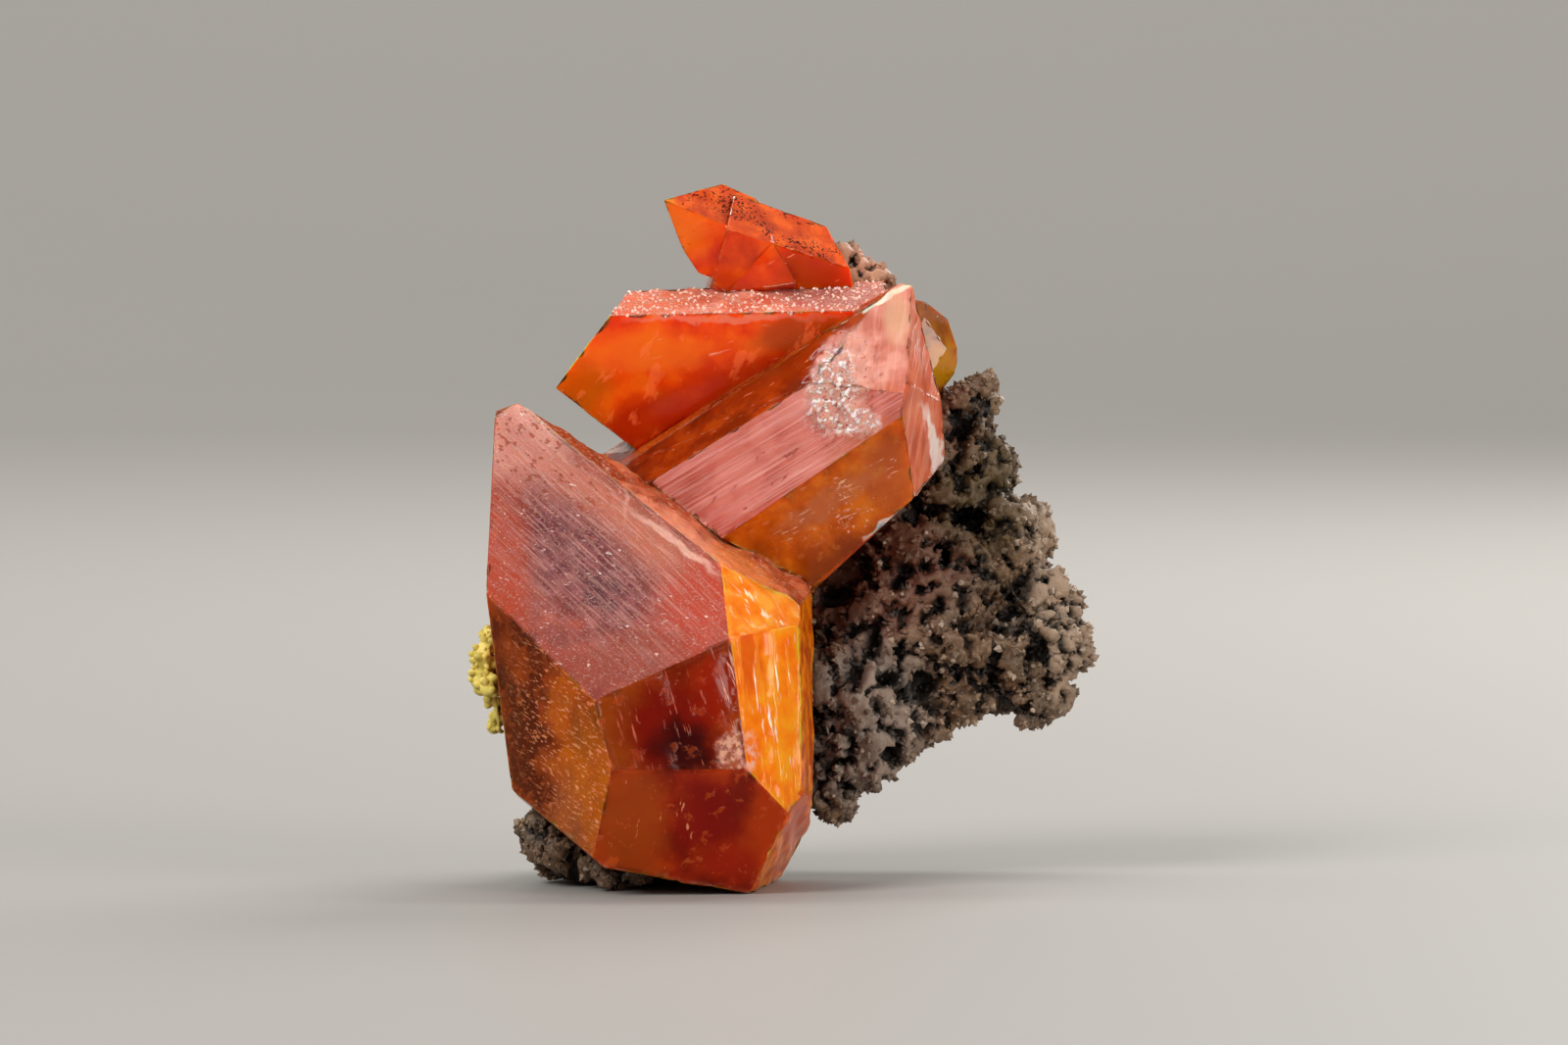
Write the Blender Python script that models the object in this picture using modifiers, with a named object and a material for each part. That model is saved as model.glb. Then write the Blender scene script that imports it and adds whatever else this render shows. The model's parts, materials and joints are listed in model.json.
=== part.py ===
"""Wulfenite crystals on a piece of vuggy quartz, a miniature specimen 44 mm tall.

Everything is measured in millimetres in the plane in which the specimen is looked at: X to the
right, Y away from the eye, Z up. One empty then leans it back and stands it on its sawn base.
"""

import math
import random

import bmesh
import bpy
from mathutils import Matrix, Vector, noise

MM = 0.001
LEAN_DEG = 3.0
CONTACT_GAP = 0.3
ROUGH_BLOCK = 120.0
SAME_POINT = 0.02

LARGE_LUMP = 1.5
LARGE_DETAIL = 4
SMALL_DETAIL = 2
QUARTZ_VOXEL = 0.5
QUARTZ_TRIANGLES = 7000
VUG_VOXEL = 0.5
VUG_TRIANGLES = 1300
CRUST_VOXEL = 0.3
CRUST_TRIANGLES = 1100
BASE_HEIGHT = 0.63

# Named corners of the front crystal. A face is the plane through three of them.
FRONT_CORNERS = {
    "apex": (-16.9, -1.5, 31.1),
    "apex_left": (-18.4, -1.7, 30.6),
    "apex_back": (-17.4, 3.0, 30.9),
    "toe": (-11.9, -15.5, 12.3),
    "ridge_end": (-4.1, -9.9, 21.0),
    "ridge_back": (-3.4, -2.0, 22.7),
    "shoulder": (1.5, -8.0, 18.1),
    "window_top": (-3.4, -13.4, 16.2),
    "window_foot": (-4.4, -14.4, 8.0),
    "right_foot": (0.3, -12.2, 5.1),
    "keel": (-2.2, -10.5, 0.1),
    "left_shoulder": (-18.8, -10.0, 19.1),
    "cheek_foot": (-11.3, -14.0, 1.8),
    "left_edge_foot": (-11.3, -13.0, 1.8),
    "left_foot": (-17.2, -9.8, 6.7),
    "rim_top": (0.95, -9.2, 17.3),
    "rim_foot": (1.1, -11.2, 6.6),
    "right_waist": (1.75, -5.5, 11.5),
    "wall_top": (1.8, -4.0, 17.0),
    "wall_foot": (1.7, -2.0, 8.0),
    "wall_back": (1.6, 2.0, 13.0),
    "right_hem": (1.6, -4.0, 5.4),
    "left_back_top": (-18.5, 0.0, 26.0),
    "left_back_foot": (-17.6, 0.0, 10.0),
    "belly": (-4.0, 2.0, 1.6),
    "left_belly": (-14.8, -2.0, 4.3),
    "back_crest": (-9.0, 2.5, 25.2),
    "back_left": (-15.0, 2.5, 14.0),
    "back_right": (-1.0, 1.5, 12.0),
}
FRONT_FACES = [
    ("apex", "toe", "window_top"),
    ("toe", "left_shoulder", "cheek_foot"),
    ("toe", "window_top", "window_foot"),
    ("window_foot", "right_foot", "keel"),
    ("ridge_end", "window_top", "shoulder"),
    ("window_top", "right_foot", "rim_top"),
    ("rim_top", "rim_foot", "right_waist"),
    ("wall_top", "wall_foot", "wall_back"),
    ("right_foot", "keel", "right_hem"),
    ("left_edge_foot", "keel", "belly"),
    ("left_foot", "left_edge_foot", "left_belly"),
    ("left_shoulder", "left_foot", "left_back_foot"),
    ("apex_left", "left_shoulder", "left_back_top"),
    ("apex_left", "apex", "apex_back"),
    ("apex", "ridge_end", "ridge_back"),
    ("apex", "ridge_back", "back_crest"),
    ("back_crest", "back_left", "back_right"),
]

MIDDLE_CORNERS = {
    "band_left": (-9.1, -1.5, 25.9),
    "band_right": (1.8, -4.5, 32.4),
    "pink_left": (-3.6, -4.0, 22.9),
    "pink_right": (7.5, -7.0, 30.4),
    "sole": (5.5, -3.0, 22.4),
    "sole_right": (8.3, -4.2, 25.1),
    "sole_back": (2.5, 4.0, 20.0),
    "valley_right": (3.8, -1.0, 36.3),
    "peak": (7.6, -1.0, 38.9),
    "peak_right": (8.3, -1.0, 38.4),
    "nose": (7.8, -6.8, 31.7),
    "right_edge": (10.1, 0.2, 30.1),
    "right_edge_high": (9.0, -0.8, 35.2),
    "left_tip": (-11.6, 1.0, 28.0),
    "left_tip_low": (-10.6, -0.2, 26.6),
    "left_tip_back": (-11.0, 5.0, 27.0),
    "top_back": (3.0, 5.0, 37.0),
    "top_back_right": (8.4, 3.5, 37.0),
    "back_low": (2.0, 6.0, 24.0),
}
MIDDLE_FACES = [
    ("band_left", "band_right", "pink_left"),
    ("pink_left", "pink_right", "sole"),
    ("band_left", "band_right", "valley_right"),
    ("peak", "nose", "band_right"),
    ("nose", "peak_right", "right_edge_high"),
    ("pink_right", "sole_right", "right_edge"),
    ("sole", "sole_right", "sole_back"),
    ("left_tip", "left_tip_low", "left_tip_back"),
    ("valley_right", "peak", "top_back"),
    ("peak", "peak_right", "top_back_right"),
    ("right_edge", "right_edge_high", "back_low"),
    ("top_back", "top_back_right", "back_low"),
]

BACK_CORNERS = {
    "left_tip": (-14.6, 2.2, 32.1),
    "bevel_left": (-11.1, 0.3, 36.7),
    "bevel_right": (4.1, -0.4, 37.0),
    "crest_left": (-9.6, 5.0, 38.8),
    "crest_right": (6.4, 5.5, 39.0),
    "heel": (-10.9, 2.2, 29.2),
    "heel_back": (-12.4, 8.0, 30.6),
    "sole_left": (-10.4, 2.2, 27.4),
    "sole_back": (-10.4, 8.0, 27.6),
    "sole_right": (4.0, 3.0, 29.0),
    "left_back": (-12.6, 8.5, 34.0),
    "back_low": (0.0, 9.0, 30.0),
    "right_end": (6.8, 3.0, 36.0),
    "right_end_back": (6.4, 8.0, 34.0),
}
BACK_FACES = [
    ("left_tip", "bevel_left", "bevel_right"),
    ("bevel_left", "bevel_right", "crest_right"),
    ("left_tip", "bevel_left", "crest_left"),
    ("left_tip", "heel", "heel_back"),
    ("sole_left", "sole_back", "sole_right"),
    ("crest_left", "crest_right", "back_low"),
    ("left_tip", "left_back", "heel_back"),
    ("crest_right", "right_end", "right_end_back"),
]

TOP_LEFT_CORNERS = {
    "tip": (-7.7, 4.2, 44.15),
    "crown": (-4.0, 6.76, 45.25),
    "crown_right": (-0.5, 6.2, 43.65),
    "edge": (-0.6, 3.2, 41.3),
    "foot": (-3.7, 4.0, 38.8),
    "foot_left": (-6.5, 4.3, 41.0),
    "foot_low": (-5.5, 4.2, 39.5),
    "foot_back": (-3.5, 9.0, 38.6),
    "left_back": (-6.8, 9.0, 42.4),
    "right_back": (0.6, 9.2, 41.0),
    "right_low": (0.8, 4.0, 39.0),
    "seat": (3.0, 3.0, 38.75),
}
TOP_LEFT_FACES = [
    ("tip", "crown", "edge"),
    ("tip", "edge", "foot"),
    ("tip", "foot_left", "left_back"),
    ("foot_left", "foot_low", "foot_back"),
    ("foot_low", "foot", "foot_back"),
    ("foot", "seat", "foot_back"),
    ("tip", "crown", "left_back"),
    ("crown", "crown_right", "right_back"),
    ("left_back", "foot_back", "right_back"),
    ("edge", "right_back", "right_low"),
]

TOP_RIGHT_CORNERS = {
    "edge": (-0.6, 3.25, 41.3),
    "right_tip": (4.2, 4.0, 39.8),
    "right_tip_low": (4.2, 5.4, 38.8),
    "crest": (2.7, 6.41, 42.5),
    "crest_left": (-0.4, 6.1, 43.6),
    "crest_back": (1.0, 9.2, 42.0),
    "foot": (-3.7, 4.0, 38.8),
    "foot_right": (3.5, 5.0, 38.3),
    "foot_back": (0.5, 9.0, 38.2),
    "left_cut": (-4.6, 4.0, 39.0),
    "left_cut_top": (-3.6, 5.0, 43.0),
    "left_cut_back": (-4.6, 8.0, 40.0),
    "right_back": (3.6, 9.0, 40.0),
}
TOP_RIGHT_FACES = [
    ("edge", "right_tip", "crest"),
    ("edge", "foot", "right_tip"),
    ("right_tip", "right_tip_low", "crest"),
    ("foot", "foot_right", "foot_back"),
    ("crest", "crest_left", "crest_back"),
    ("left_cut", "left_cut_top", "left_cut_back"),
    ("crest_back", "foot_back", "right_back"),
]

AMBER_CORNERS = {
    "top": (8.8, 4.0, 37.7),
    "top_right": (10.5, 4.6, 36.5),
    "right": (11.2, 4.4, 33.6),
    "right_low": (10.9, 4.6, 33.0),
    "low": (9.6, 4.2, 31.8),
    "face_top": (9.0, 3.0, 36.6),
    "face_low": (9.4, 2.8, 33.0),
    "face_right": (10.4, 3.4, 34.6),
    "left_low": (7.0, 4.5, 33.2),
    "left_top": (7.0, 4.5, 36.8),
    "back": (9.4, 7.4, 34.6),
    "back_top": (9.0, 7.0, 36.6),
    "back_left": (7.0, 7.2, 34.6),
}
AMBER_FACES = [
    ("face_top", "face_low", "face_right"),
    ("top", "top_right", "back_top"),
    ("top_right", "right", "back"),
    ("right", "right_low", "back"),
    ("right_low", "low", "back"),
    ("top", "face_top", "left_top"),
    ("top_right", "face_right", "face_top"),
    ("low", "face_low", "left_low"),
    ("face_right", "face_low", "right_low"),
    ("left_low", "left_top", "back_left"),
    ("back", "back_top", "back_left"),
]

# Lumps of the quartz: centre and the three half-widths of each.
QUARTZ_LUMPS = [
    ((9.0, 6.0, 18.2), (7.6, 5.8, 7.2)),
    ((10.2, 6.6, 26.4), (3.9, 4.2, 5.2)),
    ((14.3, 6.0, 17.0), (4.2, 4.6, 4.8)),
    ((12.2, 5.0, 31.4), (1.6, 2.2, 1.6)),
    ((10.4, 5.2, 30.4), (1.6, 2.4, 1.6)),
    ((14.2, 5.6, 22.4), (2.9, 3.6, 2.9)),
    ((13.2, 5.6, 26.8), (1.5, 2.6, 2.0)),
    ((17.3, 5.6, 15.6), (2.1, 2.6, 1.8)),
    ((16.9, 5.8, 12.9), (1.5, 2.5, 1.4)),
    ((15.4, 5.4, 12.1), (1.3, 2.2, 1.3)),
    ((17.0, 5.6, 19.0), (1.6, 2.4, 1.6)),
    ((11.8, 4.8, 12.3), (2.2, 2.9, 1.5)),
    ((8.6, 4.8, 11.6), (2.2, 3.3, 1.8)),
    ((4.4, 4.2, 12.2), (4.4, 4.8, 4.2)),
    ((5.0, 3.8, 8.9), (1.7, 2.6, 2.0)),
    ((6.0, 4.0, 6.7), (0.7, 1.3, 1.4)),
    ((2.9, 3.6, 6.6), (1.5, 2.2, 1.9)),
    ((-5.6, 5.0, 5.0), (4.7, 6.6, 6.0)),
    ((-9.6, 4.6, 4.6), (5.6, 7.2, 5.8)),
    ((-13.4, -2.4, 3.9), (3.0, 4.2, 3.0)),
    ((-10.4, -4.2, 1.8), (3.0, 3.8, 1.5)),
    ((-8.0, 6.6, 13.4), (8.6, 5.8, 8.8)),
    ((-0.4, 8.6, 26.6), (7.6, 4.4, 9.0)),
    ((1.4, 9.0, 34.6), (3.8, 3.0, 3.4)),
    ((3.6, 9.3, 37.4), (1.9, 1.9, 2.2)),
    ((3.6, 7.7, 40.3), (0.9, 1.0, 1.0)),
    ((4.3, 8.0, 38.9), (1.2, 1.4, 1.3)),
    ((5.5, 7.6, 38.6), (0.7, 0.8, 0.7)),
]
QUARTZ_ROUGHNESS = [(0.9, 3.6), (0.65, 1.4)]
KNOB_SIZES = (0.55, 1.15)
KNOB_AREA = 7.5
KNOB_SINK = 0.35
KNOB_SEED = 11

# Pits eaten into the quartz, seen from the front as dark holes.
QUARTZ_VUGS = [
    ((4.3, 0.9, 6.6), (1.25, 2.2, 0.75)),
    ((12.6, 2.6, 31.1), (1.3, 1.4, 0.8)),
    ((12.4, 1.6, 26.4), (2.1, 2.2, 0.9)),
    ((13.0, 1.5, 22.8), (1.5, 1.8, 1.1)),
    ((10.4, 1.0, 22.0), (0.9, 1.8, 0.9)),
    ((12.4, 1.1, 20.6), (0.9, 1.6, 0.8)),
    ((14.9, 1.6, 19.4), (1.3, 1.3, 0.7)),
    ((7.8, 0.3, 15.6), (1.4, 1.5, 0.8)),
    ((9.4, 0.6, 14.6), (0.8, 1.3, 1.1)),
    ((11.8, 1.5, 13.9), (1.5, 1.9, 1.1)),
    ((16.2, 1.9, 15.2), (1.2, 1.2, 0.7)),
    ((5.2, 0.0, 10.4), (1.0, 1.3, 0.6)),
    ((3.0, 0.2, 10.0), (0.8, 1.2, 0.7)),
    ((-4.0, 11.8, 13.0), (1.8, 1.6, 1.3)),
    ((3.6, 12.6, 24.0), (1.7, 1.5, 1.4)),
    ((10.0, 11.4, 19.0), (2.0, 1.6, 1.2)),
    ((-10.4, 11.8, 7.6), (1.6, 1.6, 1.1)),
]

# Balls of the yellow-green crust down the left side of the front crystal.
CRUST_BALLS = [
    ((-18.9, -5.4, 15.1), 0.95),
    ((-19.1, -5.0, 13.9), 0.85),
    ((-18.7, -6.2, 13.1), 0.75),
    ((-18.4, -4.2, 14.5), 1.0),
    ((-18.3, -5.2, 12.5), 0.7),
    ((-18.7, -4.6, 16.4), 0.6),
    ((-18.5, -5.6, 17.3), 0.5),
    ((-18.4, -6.2, 18.1), 0.45),
    ((-18.0, -6.6, 11.5), 0.6),
    ((-17.9, -7.2, 10.5), 0.5),
    ((-17.8, -6.4, 9.6), 0.5),
    ((-18.0, -5.6, 8.8), 0.45),
    ((-17.8, -3.4, 11.0), 1.0),
    ((-18.0, -2.4, 13.0), 1.1),
    ((-17.6, -2.0, 15.6), 1.0),
]

LOOKS = {
    "front_wulfenite": ("C8420F", 0.35),
    "middle_wulfenite": ("C9531C", 0.25),
    "top_wulfenite": ("D84A08", 0.25),
    "amber_wulfenite": ("B8800F", 0.15),
    "quartz": ("6E6058", 0.85),
    "mimetite": ("B4B04A", 0.7),
}


def linear(channel):
    """One sRGB channel, 0 to 1, as linear light."""
    if channel <= 0.04045:
        return channel / 12.92
    return ((channel + 0.055) / 1.055) ** 2.4


def make_material(name):
    colour, roughness = LOOKS[name]
    material = bpy.data.materials.new(name)
    material.use_nodes = True
    shader = material.node_tree.nodes["Principled BSDF"]
    channels = [linear(int(colour[i:i + 2], 16) / 255) for i in (0, 2, 4)]
    shader.inputs["Base Color"].default_value = (*channels, 1.0)
    shader.inputs["Roughness"].default_value = roughness
    shader.inputs["Metallic"].default_value = 0.0
    return material


def new_collection(name):
    collection = bpy.data.collections.new(name)
    bpy.context.scene.collection.children.link(collection)
    return collection


def new_object(name, mesh, collection, stand):
    item = bpy.data.objects.new(name, mesh)
    collection.objects.link(item)
    item.parent = stand
    return item


def as_cutter(item):
    item.hide_render = True
    item.display_type = "WIRE"
    return item


def crystal_mesh(name, corners, faces, grow=0.0):
    """A block cut back to every crystal face. Each face moves out by grow, for the pocket it fills."""
    points = {key: Vector(place) for key, place in corners.items()}
    middle = sum(points.values(), Vector()) / len(points)
    bm = bmesh.new()
    bmesh.ops.create_cube(bm, size=ROUGH_BLOCK, matrix=Matrix.Translation(middle))
    for first, second, third in faces:
        a, b, c = points[first], points[second], points[third]
        normal = (b - a).cross(c - a).normalized()
        if normal.dot(a - middle) < 0:
            normal.negate()
        everything = bm.verts[:] + bm.edges[:] + bm.faces[:]
        bmesh.ops.bisect_plane(
            bm, geom=everything, plane_co=a + normal * grow, plane_no=normal, clear_outer=True
        )
        rim = [edge for edge in bm.edges if edge.is_boundary]
        bmesh.ops.edgeloop_fill(bm, edges=rim)
    bmesh.ops.remove_doubles(bm, verts=bm.verts, dist=SAME_POINT)
    bmesh.ops.recalc_face_normals(bm, faces=bm.faces)
    bmesh.ops.scale(bm, vec=(MM, MM, MM), verts=bm.verts)
    mesh = bpy.data.meshes.new(name)
    bm.to_mesh(mesh)
    bm.free()
    return mesh


def add_boolean(item, cutter, operation):
    cut = item.modifiers.new(f"{operation.lower()}_{cutter.name}", "BOOLEAN")
    cut.operation = operation
    cut.solver = "EXACT"
    cut.object = cutter


def rocky_offset(place):
    """How far the quartz stands out or is pitted at a place, in mm."""
    offset = 0.0
    for height, spacing in QUARTZ_ROUGHNESS:
        offset += height * noise.noise(place / spacing)
    return offset


def knobs_on(lumps):
    """Small knobs scattered over the lumps, half sunk into them."""
    chance = random.Random(KNOB_SEED)
    knobs = []
    for centre, radii in lumps:
        mean = sum(radii) / 3
        for _ in range(round(4 * math.pi * mean ** 2 / KNOB_AREA)):
            turn = chance.uniform(0, 2 * math.pi)
            height = chance.uniform(-1, 1)
            flat = math.sqrt(1 - height ** 2)
            way = Vector((flat * math.cos(turn), flat * math.sin(turn), height))
            size = chance.uniform(*KNOB_SIZES) * min(1.0, mean / 1.6)
            reach = [max(radii[i] - KNOB_SINK - size / 2, 0.0) for i in range(3)]
            place = Vector(centre) + Vector([way[i] * reach[i] for i in range(3)])
            knobs.append((place, (size, size, size)))
    return knobs


def lump_mesh(name, lumps, offset_at=None):
    """Round lumps that overlap, each moved in and out by the rock's roughness."""
    bm = bmesh.new()
    for centre, radii in lumps:
        detail = LARGE_DETAIL if max(radii) > LARGE_LUMP else SMALL_DETAIL
        made = bmesh.ops.create_icosphere(bm, subdivisions=detail, radius=1.0)
        for vert in made["verts"]:
            direction = Vector([vert.co[i] / radii[i] for i in range(3)]).normalized()
            place = Vector(centre) + Vector([vert.co[i] * radii[i] for i in range(3)])
            if offset_at:
                place += direction * offset_at(place)
            vert.co = place * MM
    mesh = bpy.data.meshes.new(name)
    bm.to_mesh(mesh)
    bm.free()
    return mesh


def fuse_lumps(item, voxel, triangles):
    """One skin over overlapping lumps, with about the given number of triangles."""
    remesh = item.modifiers.new("one_skin", "REMESH")
    remesh.mode = "VOXEL"
    remesh.voxel_size = voxel * MM
    bpy.context.view_layer.update()
    graph = bpy.context.evaluated_depsgraph_get()
    found = item.evaluated_get(graph).data
    dense = sum(len(face.vertices) - 2 for face in found.polygons)
    fewer = item.modifiers.new("fewer_faces", "DECIMATE")
    fewer.ratio = min(1.0, triangles / dense)


def island_of(start):
    """Every vertex that edges join to this one."""
    seen = {start}
    waiting = [start]
    while waiting:
        for edge in waiting.pop().link_edges:
            for vert in edge.verts:
                if vert not in seen:
                    seen.add(vert)
                    waiting.append(vert)
    return seen


def settle_shape(item):
    """Applies the modifiers and keeps only the largest piece, because chips left by a cut fall off."""
    bpy.context.view_layer.update()
    graph = bpy.context.evaluated_depsgraph_get()
    mesh = bpy.data.meshes.new_from_object(item.evaluated_get(graph))
    item.modifiers.clear()
    bm = bmesh.new()
    bm.from_mesh(mesh)
    left = set(bm.verts)
    islands = []
    while left:
        island = island_of(next(iter(left)))
        islands.append(island)
        left -= island
    islands.sort(key=len)
    for chip in islands[:-1]:
        bmesh.ops.delete(bm, geom=list(chip), context="VERTS")
    bmesh.ops.triangulate(bm, faces=bm.faces)
    bm.to_mesh(mesh)
    bm.free()
    item.data = mesh


def finish_shape(item, material):
    item.data.materials.clear()
    item.data.materials.append(material)
    item.data.shade_smooth()
    item.data.set_sharp_from_angle(angle=math.radians(12))


def base_saw(collection):
    """A block whose top is the plane of the sawn base."""
    mesh = bpy.data.meshes.new("base_saw")
    bm = bmesh.new()
    below = Matrix.Translation((0, 0, BASE_HEIGHT - ROUGH_BLOCK / 2))
    bmesh.ops.create_cube(bm, size=ROUGH_BLOCK, matrix=below)
    bmesh.ops.scale(bm, vec=(MM, MM, MM), verts=bm.verts)
    bm.to_mesh(mesh)
    bm.free()
    saw = bpy.data.objects.new("base_saw", mesh)
    collection.objects.link(saw)
    return as_cutter(saw)


def stand_on_floor(stand, items):
    """Moves the whole specimen so that the middle of its foot print is the origin."""
    bpy.context.view_layer.update()
    corners = [item.matrix_world @ vert.co for item in items for vert in item.data.vertices]
    low = Vector([min(corner[i] for corner in corners) for i in range(3)])
    high = Vector([max(corner[i] for corner in corners) for i in range(3)])
    stand.location -= Vector(((low.x + high.x) / 2, (low.y + high.y) / 2, low.z))


def build_specimen():
    for item in list(bpy.data.objects):
        bpy.data.objects.remove(item)
    pieces = new_collection("wulfenite_on_quartz")
    tools = new_collection("cutters")
    tools.hide_render = True

    stand = bpy.data.objects.new("stand", None)
    pieces.objects.link(stand)
    stand.rotation_euler.x = -math.radians(LEAN_DEG)

    shapes = {
        "front": (FRONT_CORNERS, FRONT_FACES),
        "middle": (MIDDLE_CORNERS, MIDDLE_FACES),
        "back": (BACK_CORNERS, BACK_FACES),
        "top_left": (TOP_LEFT_CORNERS, TOP_LEFT_FACES),
        "top_right": (TOP_RIGHT_CORNERS, TOP_RIGHT_FACES),
        "amber": (AMBER_CORNERS, AMBER_FACES),
    }
    pockets = {}
    for name, (corners, faces) in shapes.items():
        mesh = crystal_mesh(f"{name}_pocket", corners, faces, CONTACT_GAP)
        pockets[name] = as_cutter(new_object(f"{name}_pocket", mesh, tools, stand))

    def crystal(name, first, joined=(), cut_by=()):
        item = new_object(name, crystal_mesh(name, *shapes[first]), pieces, stand)
        for other in joined:
            mesh = crystal_mesh(f"{other}_crystal", *shapes[other])
            partner = as_cutter(new_object(f"{other}_crystal", mesh, tools, stand))
            add_boolean(item, partner, "UNION")
        for other in cut_by:
            add_boolean(item, pockets[other], "DIFFERENCE")
        settle_shape(item)
        return item

    front = crystal("front_crystal", "front")
    middle = crystal("middle_crystals", "middle", joined=["back"], cut_by=["front"])
    top = crystal(
        "top_crystal", "top_left", joined=["top_right"], cut_by=["middle", "back"]
    )
    amber = crystal("amber_crystal", "amber", cut_by=["middle", "back"])

    rock = QUARTZ_LUMPS + knobs_on(QUARTZ_LUMPS)
    quartz = new_object(
        "quartz_matrix", lump_mesh("quartz_matrix", rock, rocky_offset), pieces, stand
    )
    fuse_lumps(quartz, QUARTZ_VOXEL, QUARTZ_TRIANGLES)
    vugs = new_object("vugs", lump_mesh("vugs", QUARTZ_VUGS, rocky_offset), tools, stand)
    fuse_lumps(as_cutter(vugs), VUG_VOXEL, VUG_TRIANGLES)
    add_boolean(quartz, vugs, "DIFFERENCE")
    add_boolean(quartz, base_saw(tools), "DIFFERENCE")
    for pocket in pockets.values():
        add_boolean(quartz, pocket, "DIFFERENCE")
    settle_shape(quartz)

    balls = [(centre, (radius, radius, radius)) for centre, radius in CRUST_BALLS]
    crust = new_object("mimetite_crust", lump_mesh("mimetite_crust", balls), pieces, stand)
    fuse_lumps(crust, CRUST_VOXEL, CRUST_TRIANGLES)
    add_boolean(crust, pockets["front"], "DIFFERENCE")
    settle_shape(crust)

    made = {
        front: "front_wulfenite",
        middle: "middle_wulfenite",
        top: "top_wulfenite",
        amber: "amber_wulfenite",
        quartz: "quartz",
        crust: "mimetite",
    }
    for item, look in made.items():
        finish_shape(item, make_material(look))
    stand_on_floor(stand, list(made))
    return stand


build_specimen()
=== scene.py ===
# Wulfenite on quartz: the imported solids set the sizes, this script gives them their surfaces.
import json
import math

import bmesh
import bpy
from mathutils import Matrix, Vector, noise
from mathutils.bvhtree import BVHTree

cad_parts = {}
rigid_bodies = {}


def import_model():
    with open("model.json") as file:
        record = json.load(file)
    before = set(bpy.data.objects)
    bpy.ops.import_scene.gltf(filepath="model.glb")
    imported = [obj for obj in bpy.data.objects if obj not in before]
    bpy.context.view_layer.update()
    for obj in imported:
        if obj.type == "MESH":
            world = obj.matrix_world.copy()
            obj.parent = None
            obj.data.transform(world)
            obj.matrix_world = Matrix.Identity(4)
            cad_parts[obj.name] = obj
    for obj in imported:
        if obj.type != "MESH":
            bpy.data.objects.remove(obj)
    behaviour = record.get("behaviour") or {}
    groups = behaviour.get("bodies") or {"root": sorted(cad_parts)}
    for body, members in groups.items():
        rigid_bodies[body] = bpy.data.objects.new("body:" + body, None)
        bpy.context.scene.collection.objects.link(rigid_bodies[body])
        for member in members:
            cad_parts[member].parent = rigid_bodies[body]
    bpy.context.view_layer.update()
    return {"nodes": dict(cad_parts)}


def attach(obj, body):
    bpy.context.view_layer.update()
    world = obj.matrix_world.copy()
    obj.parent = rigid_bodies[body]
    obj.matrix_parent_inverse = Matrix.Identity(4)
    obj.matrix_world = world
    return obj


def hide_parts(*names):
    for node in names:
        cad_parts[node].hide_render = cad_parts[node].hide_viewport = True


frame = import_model()
scene = bpy.context.scene
mm = 0.001

# Places below are mm as the eye sees them: X to the right, Y away, Z up.
eye = {
    "leanDegrees": 3.0,
    "offset": (0.15, 0.31, -0.63),   # mm, from the eye's frame to the model's
    "target": (0.0, 0.0, 23.5),
    "distance": 0.9,
    "lens": 324.0,
}
lean = Matrix.Rotation(-math.radians(eye["leanDegrees"]), 4, "X")
forward = lean.to_3x3() @ Vector((0, 1, 0))


def fromView(x, y, z):
    return lean @ (Vector((x, y, z)) * mm) + Vector(eye["offset"]) * mm


def toView(place):
    return (lean.inverted() @ (place - Vector(eye["offset"]) * mm)) / mm


studio = {
    "floor": "9C9892",
    "floorSize": 3.0,
    "sweepStart": 0.62,
    "sweepRadius": 0.35,
    "world": "E8ECF2",
    "worldStrength": 0.22,
    "keyPower": 3.4,
    "fillPower": 2.6,
    "rimPower": 1.6,
    "topPower": 0.3,
    "backdropPower": 9.0,
}


def linear(hexColour, alpha=1.0):
    out = []
    for i in (0, 2, 4):
        channel = int(hexColour[i:i + 2], 16) / 255
        out.append(channel / 12.92 if channel <= 0.04045 else ((channel + 0.055) / 1.055) ** 2.4)
    return (*out, alpha)


# Fills a node's sockets: another socket is linked, a hex colour is turned to linear.
def fillSockets(tree, node, values):
    for key, value in values.items():
        if isinstance(value, bpy.types.NodeSocket):
            tree.links.new(value, node.inputs[key])
        elif isinstance(value, str) and node.inputs[key].type == "RGBA":
            node.inputs[key].default_value = linear(value)
        else:
            node.inputs[key].default_value = value


# settings that many nodes share
softStep = {"interpolation_type": "SMOOTHSTEP"}
colourMix = {"data_type": "RGBA"}


# Adds one node with its settings, values and links; hands back the node or one of its outputs.
def addNode(tree, kind, settings=None, values=None, output=None):
    node = tree.nodes.new(kind)
    for key, value in (settings or {}).items():
        setattr(node, key, value)
    fillSockets(tree, node, values or {})
    return node if output is None else node.outputs[output]


def newMaterial(name):
    material = bpy.data.materials.new(name)
    material.use_nodes = True
    tree = material.node_tree
    return material, tree, tree.nodes["Principled BSDF"]


def newPiece(name, mesh):
    piece = bpy.data.objects.new(name, mesh)
    scene.collection.objects.link(piece)
    return piece


def settledMesh(piece):
    bpy.context.view_layer.update()
    graph = bpy.context.evaluated_depsgraph_get()
    mesh = bpy.data.meshes.new_from_object(piece.evaluated_get(graph))
    piece.modifiers.clear()
    piece.data = mesh
    return mesh


def triangleCount(mesh):
    return sum(len(face.vertices) - 2 for face in mesh.polygons)


camera = newPiece("camera", bpy.data.cameras.new("camera"))
camera.data.lens = eye["lens"]
camera.data.clip_start = 0.05
camera.data.clip_end = 60.0
camera.location = fromView(*eye["target"]) - forward * eye["distance"]
camera.rotation_euler = forward.to_track_quat("-Z", "Y").to_euler()
scene.camera = camera
scene.view_settings.view_transform = "Standard"


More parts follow.
